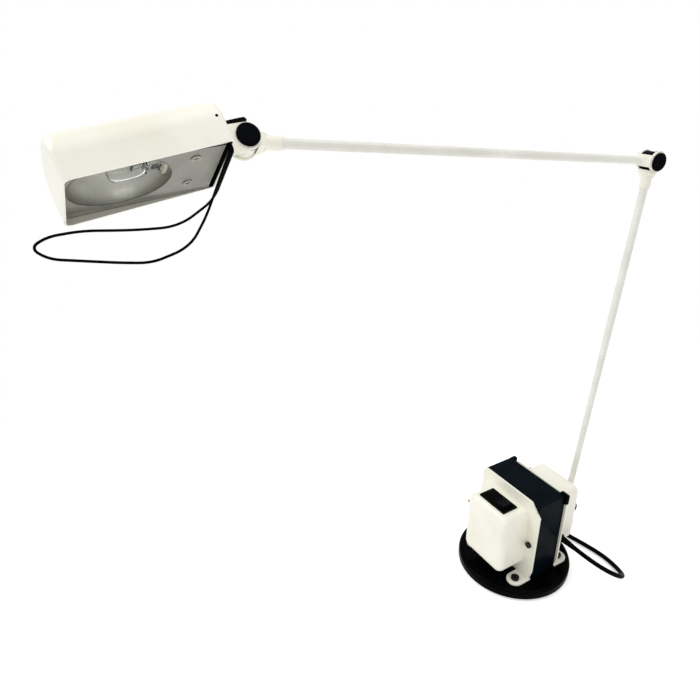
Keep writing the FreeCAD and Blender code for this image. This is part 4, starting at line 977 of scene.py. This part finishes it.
    def capsule(self) -> None:
        """Makes the quartz capsule: flat pinch, round bulb and drawn tip, with its inner wall.

        Up its height the outline runs from a flat oval at the pinch to a circle at the bulb by a
        smooth step over the neck, then closes in a half ellipse at the tip. At angle t (0 to pi) the
        inner wall's radius is (bulb_radius - bulb_wall) sqrt(sin t), and its height runs with -cos t.
        """
        start, neck, steps = self.pinch_start, self.neck_length, 48
        shoulder = start + self.pinch_length - self.shoulder_drop
        end = start + self.pinch_length + self.bulb_length
        cap_from = end - self.bulb_radius * self.tip_share
        cap = end - cap_from
        height = np.concatenate(
            [
                [start, start],
                np.linspace(start, shoulder, 8)[1:],
                np.linspace(shoulder, shoulder + neck, 9)[1:],
                [cap_from],
                cap_from + cap * np.sin(np.linspace(0, np.pi / 2, 12)[1:]),
            ]
        )[:, None]
        blend = smooth_step((height - shoulder) / neck)
        close = np.sqrt(1 - np.clip((height - cap_from) / cap, 0, 1) ** 2)
        close[0] = 0.0
        wide, thick = self.pinch_half
        half_x = (wide + (self.bulb_radius - wide) * blend) * close
        half_y = (thick + (self.bulb_radius - thick) * blend) * close
        angle = turn_angles(steps)
        power = self.pinch_flatness + (1 - self.pinch_flatness) * blend
        x = half_x * signed_power(np.cos(angle), power)
        y = half_y * signed_power(np.sin(angle), power)
        outer = as_points(x, y, height)
        faces, place = grid_faces(len(height), steps, True), self.bulb_place()
        glass = surface_piece("quartz_capsule", outer, faces, place, Finish.QUARTZ_GLASS)
        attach(glass, "head")
        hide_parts("bulb_glass")
        low, high = shoulder + self.inner_gaps[0], end - self.inner_gaps[1]
        middle, half = (low + high) / 2, (high - low) / 2
        t, turn = np.linspace(0, np.pi, 24)[:, None], turn_angles(40)
        radius = (self.bulb_radius - self.bulb_wall) * np.sqrt(np.sin(t))
        inner = as_points(radius * np.cos(turn), radius * np.sin(turn), middle - half * np.cos(t))
        faces = grid_faces(len(t), len(turn), True)
        room = surface_piece("capsule_inner_wall", inner, faces, place, Finish.QUARTZ_GLASS)
        room.data.flip_normals()
        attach(room, "head")

    def filament(self) -> None:
        """Makes the coiled filament on its two lead wires.

        The coil is a helix along X: its angle rises by so many turns while x runs over its length.
        Each end runs straight down to its foot in the pinch.
        """
        pinch_end = self.pinch_start + self.pinch_length
        u = np.linspace(0, 1, self.filament_turns * 14)
        angle = 2 * np.pi * self.filament_turns * u
        y = self.coil_radius * np.cos(angle)
        z = pinch_end + self.filament_rise + self.coil_radius * np.sin(angle)
        coil = np.stack([(u - 0.5) * self.filament_length, y, z], axis=-1)
        share = np.linspace(0, 1, 10)[1:, None]
        first, last = (
            end + (np.array([foot_x, 0.0, pinch_end - self.foot_depth]) - end) * share
            for end, foot_x in ((coil[0], -self.foot_half), (coil[-1], self.foot_half))
        )
        line = np.concatenate([first[::-1], coil, last])
        place = self.bulb_place()
        wire = tube_piece("coiled_filament", line, self.wire_radius, place, Finish.TUNGSTEN, 8)
        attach(wire, "head")
        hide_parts("bulb_filament")

    def bowl_rim(self) -> None:
        """Makes the bowl's rolled rim: a thin bead carried round the plate's elliptical opening."""
        height = self.plate_line(self.plate_face, self.bowl_middle)
        middle = shifted(0, height, self.knuckle_to_rear + self.bowl_middle)
        half_x, half_z = self.bowl_half
        angle, bead = np.linspace(0, 2 * np.pi, 121)[:, None], turn_angles(12)
        reach = self.bead_gap + self.bead_radius * np.cos(bead)
        x, z = (half_x + reach) * np.cos(angle), (half_z + reach) * np.sin(angle)
        points = as_points(x, self.bead_radius * np.sin(bead) - self.bead_sink, z)
        place = self.place @ middle @ turned("X", -self.plate_slope)
        faces = grid_faces(len(angle), len(bead), True)
        rim = surface_piece("bowl_rolled_rim", points, faces, place, Finish.SATIN_REFLECTOR)
        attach(rim, "head")


@dataclass
class MainsLead:
    """The black mains lead: strain relief, free run, two-layer coil and two-pin plug (millimetres)."""

    diameter: float = 5.0
    exit: Point = (50.2, 39.8, 35.3)
    route: tuple[Point, ...] = (
        (73.7, 39.8, 35.3),
        (90.8, 53.2, 26.2),
        (91.9, 72.6, 12.8),
        (76.5, 87.1, 2.55),
        (53.0, 90.0, 2.55),
        (20.0, 84.0, 2.55),
        (-10.0, 76.0, 2.55),
        (-38.0, 72.1, 2.55),
    )
    coil_middle: Span = (-71.0, 111.0)
    coil_radius: float = 41.0
    coil_pitch: float = 5.6
    coil_rise: float = 5.8
    coil_turns: float = 9 - 50.0 / 360.0
    coil_start: float = 275.0
    floor_gap: float = 0.05
    points_per_turn: int = 16
    spline_cut: float = 0.75

    def coil_line(self) -> Array:
        """Gives the coil's centre line: a spiral in on the lower layer and out again on the upper one.

        The radius at turn t is R - pitch * min(t, T - t), the angle is coil_start - 360 t degrees, and
        the height climbs one layer by a smooth step in the half turn round T / 2. A quadratic spline
        cuts off a share, spline_cut, of what straight lines would, so the radius is widened by that.

        Returns:
            The line's points, in millimetres.
        """
        count = int(round(self.coil_turns * self.points_per_turn)) + 1
        turn = np.linspace(0, self.coil_turns, count)
        inward = np.minimum(turn, self.coil_turns - turn)
        step = np.pi / self.points_per_turn
        widen = 1.0 + (1.0 / math.cos(step) - 1.0) * self.spline_cut
        radius = (self.coil_radius - self.coil_pitch * inward) * widen
        climb = smooth_step((turn - self.coil_turns / 2) / 0.5 + 0.5)
        height = self.diameter / 2 + self.floor_gap + self.coil_rise * climb
        angle = math.radians(self.coil_start) - 2 * np.pi * turn
        x = self.coil_middle[0] + radius * np.cos(angle)
        y = self.coil_middle[1] + radius * np.sin(angle)
        return np.stack([x, y, height], axis=-1)

    def way_at(self, angle: float, inward: float) -> Array:
        """Gives the lead's way at an angle of the coil, turning in or out by the pitch per turn.

        Args:
            angle: the angle round the coil, in radians.
            inward: 1 where the lead turns in, -1 where it turns out.

        Returns:
            The way, as a unit vector.
        """
        drift = -inward * self.coil_pitch / (2 * math.pi)
        cos, sin, radius = math.cos(angle), math.sin(angle), self.coil_radius
        way = np.array([radius * sin + drift * cos, -radius * cos + drift * sin, 0.0])
        return way / np.linalg.norm(way)

    def rim_place(self, angle: float, height: float) -> Array:
        """Gives a place on the coil's outer turn.

        Args:
            angle: the angle round the coil, in radians.
            height: the place's height, in millimetres.

        Returns:
            The place, in millimetres.
        """
        x = self.coil_middle[0] + self.coil_radius * math.cos(angle)
        y = self.coil_middle[1] + self.coil_radius * math.sin(angle)
        return np.array([x, y, height])

    def ends(self) -> tuple[Array, Array]:
        """Gives the coil's straight lead-in and its straight lead-out, in millimetres.

        Returns:
            The point before the coil, and the coil's last point with the one after it.
        """
        low = self.diameter / 2 + self.floor_gap
        first = math.radians(self.coil_start)
        last = first - 2 * math.pi * self.coil_turns
        lead_in = self.rim_place(first, low) - self.way_at(first, 1.0) * self.diameter
        end = self.rim_place(last, low + self.coil_rise)
        return lead_in[None, :], np.stack([end, end + self.way_at(last, -1.0) * self.diameter])

    def build(self) -> None:
        """Makes the lead as one spline and dresses what is on it."""
        coil = self.coil_line()
        lead_in, lead_out = self.ends()
        line = np.concatenate([[self.exit], self.route, lead_in, coil[:-1], lead_out]) * MM
        curve = bpy.data.curves.new("mains_lead", "CURVE")
        curve.dimensions = "3D"
        curve.bevel_depth = self.diameter / 2 * MM
        curve.bevel_resolution = 4
        curve.resolution_u = 6
        curve.use_fill_caps = True
        spline = curve.splines.new("NURBS")
        spline.points.add(len(line) - 1)
        spline.points.foreach_set("co", np.column_stack([line, np.ones(len(line))]).ravel())
        spline.order_u = 3
        spline.use_endpoint_u = True
        curve.materials.append(Finish.CORD_SHEATH.made())
        lead = shown("mains_lead", curve)
        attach(lead, "base")
        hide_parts("mains_cord", "cord_coil")
        dress(Finish.CORD_SHEATH, "plug_body", "cord_gland")
        dress(Finish.PIN_BRASS, "plug_pins")


# ---------------- studio


@dataclass(frozen=True)
class AreaLamp:
    """One square area lamp: its place, its target and its side in metres, and its power in watts."""

    name: str
    place: Point
    target: Point
    side: float
    power: float

    def hang(self) -> None:
        """Makes the lamp and turns it to its target."""
        data = bpy.data.lights.new(self.name, "AREA")
        data.size = self.side
        data.energy = self.power
        aim = Vector(self.target) - Vector(self.place)
        matrix = aim.to_track_quat("-Z", "Y").to_matrix().to_4x4()
        matrix.translation = Vector(self.place)
        shown(self.name, data).matrix_world = matrix


@dataclass
class Studio:
    """The pale floor, the soft light and the camera at the photograph's angle.

    The eye is in millimetres, the floor's reach, drop and fade in metres.
    """

    eye: Point = (357.92, -423.85, 522.68)
    azimuth: float = 59.48
    elevation: float = 26.31
    roll: float = -0.58
    focal_px: float = 607.55
    centre_px: Span = (351.4, 354.81)
    image_px: float = 700.0
    sensor_mm: float = 36.0
    floor_reach: float = 30.0
    floor_drop: float = 0.0002
    floor_glow: float = 0.42
    floor_fade: Span = (0.35, 0.8)
    sky_light: float = 0.55
    lamps: tuple[AreaLamp, ...] = (
        AreaLamp("key_lamp", (-0.9, -1.5, 1.7), (-0.1, -0.1, 0.25), 1.4, 21.0),
        AreaLamp("fill_lamp", (1.8, -0.6, 0.9), (-0.05, -0.1, 0.25), 1.2, 5.5),
        AreaLamp("top_lamp", (0.1, 0.3, 2.0), (0.0, -0.1, 0.2), 1.5, 9.5),
    )

    def build(self) -> None:
        """Makes the floor, the world, the lamps and the camera."""
        self.floor()
        self.world()
        for lamp in self.lamps:
            lamp.hang()
        self.camera()
        bpy.context.scene.view_settings.view_transform = "Standard"

    def camera(self) -> None:
        """Makes the camera: axes from azimuth, elevation and roll, shift from the picture's centre."""
        azimuth, elevation, roll = (math.radians(v) for v in (self.azimuth, self.elevation, self.roll))
        flat = math.cos(elevation)
        back = Vector((math.sin(azimuth) * flat, -math.cos(azimuth) * flat, math.sin(elevation)))
        across = Vector((0, 0, 1)).cross(back).normalized()
        above = back.cross(across)
        right = across * math.cos(roll) + above * math.sin(roll)
        up = above * math.cos(roll) - across * math.sin(roll)
        data = bpy.data.cameras.new("photo_camera")
        data.sensor_width = self.sensor_mm
        data.lens = self.focal_px / self.image_px * self.sensor_mm
        data.shift_x = (self.image_px / 2 - self.centre_px[0]) / self.image_px
        data.shift_y = (self.centre_px[1] - self.image_px / 2) / self.image_px
        data.clip_start = 0.01
        camera = shown("photo_camera", data)
        matrix = Matrix((right, up, back)).transposed().to_4x4()
        matrix.translation = Vector(self.eye) * MM
        camera.matrix_world = matrix
        bpy.context.scene.camera = camera

    def floor(self) -> None:
        """Makes a wide pale floor, a hair below the pad, that keeps the lamp's shadow."""
        mesh = bpy.data.meshes.new("studio_floor")
        signs = ((-1, -1), (1, -1), (1, 1), (-1, 1))
        corners = [(x * self.floor_reach, y * self.floor_reach, -self.floor_drop) for x, y in signs]
        mesh.from_pydata(corners, [], [(0, 1, 2, 3)])
        plane = shown("studio_floor", mesh)
        surface = Surface("floor_paper")
        tree, white = surface.tree, linear("ffffff")
        tone = surface.ramp(surface.noise(2.0, 3), (0.3, linear("fbfbfa")), (0.7, white))
        surface.put(Base_Color=tone, Roughness=0.9, Specular_IOR_Level=0.0)
        seen = self.seen(tree)
        glow = reckoned(tree, "MULTIPLY", seen, self.floor_glow)
        surface.put(Emission_Color=white, Emission_Strength=glow)
        away = add_node(tree, "ShaderNodeVectorMath", {0: surface.place}, operation="LENGTH")
        fade = mapped(tree, away.outputs["Value"], self.floor_fade, (0.0, 1.0))
        far = reckoned(tree, "MULTIPLY", seen, fade)
        lit = add_node(tree, "ShaderNodeEmission", {"Color": white, "Strength": 1.0}).outputs[0]
        sockets = {0: far, 1: surface.shader.outputs["BSDF"], 2: lit}
        blend = add_node(tree, "ShaderNodeMixShader", sockets)
        tree.links.new(blend.outputs["Shader"], tree.nodes["Material Output"].inputs["Surface"])
        mesh.materials.append(surface.material)

    def seen(self, tree: Tree) -> Socket:
        """Gives 1 for camera, glossy and transmission rays and 0 for the rest.

        Args:
            tree: the node tree.

        Returns:
            The socket with that value.
        """
        rays = add_node(tree, "ShaderNodeLightPath").outputs
        first = reckoned(tree, "MAXIMUM", rays["Is Camera Ray"], rays["Is Glossy Ray"])
        return reckoned(tree, "MAXIMUM", first, rays["Is Transmission Ray"])

    def world(self) -> None:
        """Makes a white backdrop for the camera and reflections, and a softer sky for the light."""
        world = bpy.data.worlds.new("studio_world")
        world.use_nodes = True
        bpy.context.scene.world = world
        tree = world.node_tree
        background = tree.nodes["Background"]
        background.inputs["Color"].default_value = linear("ffffff")
        strength = mapped(tree, self.seen(tree), (0.0, 1.0), (self.sky_light, 1.0))
        tree.links.new(strength, background.inputs["Strength"])


# ---------------- the whole lamp


def main() -> None:
    """Builds the studio and every sub-assembly."""
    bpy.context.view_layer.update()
    assemblies: list[Callable[[], None]] = [
        Studio().build,
        MainsLead().build,
        CounterweightBase().build,
        FoldingArms().build,
        LampHead().build,
    ]
    for build in assemblies:
        build()
        LOG.info("finished %s", build.__qualname__)


if __name__ == "__main__":
    main()
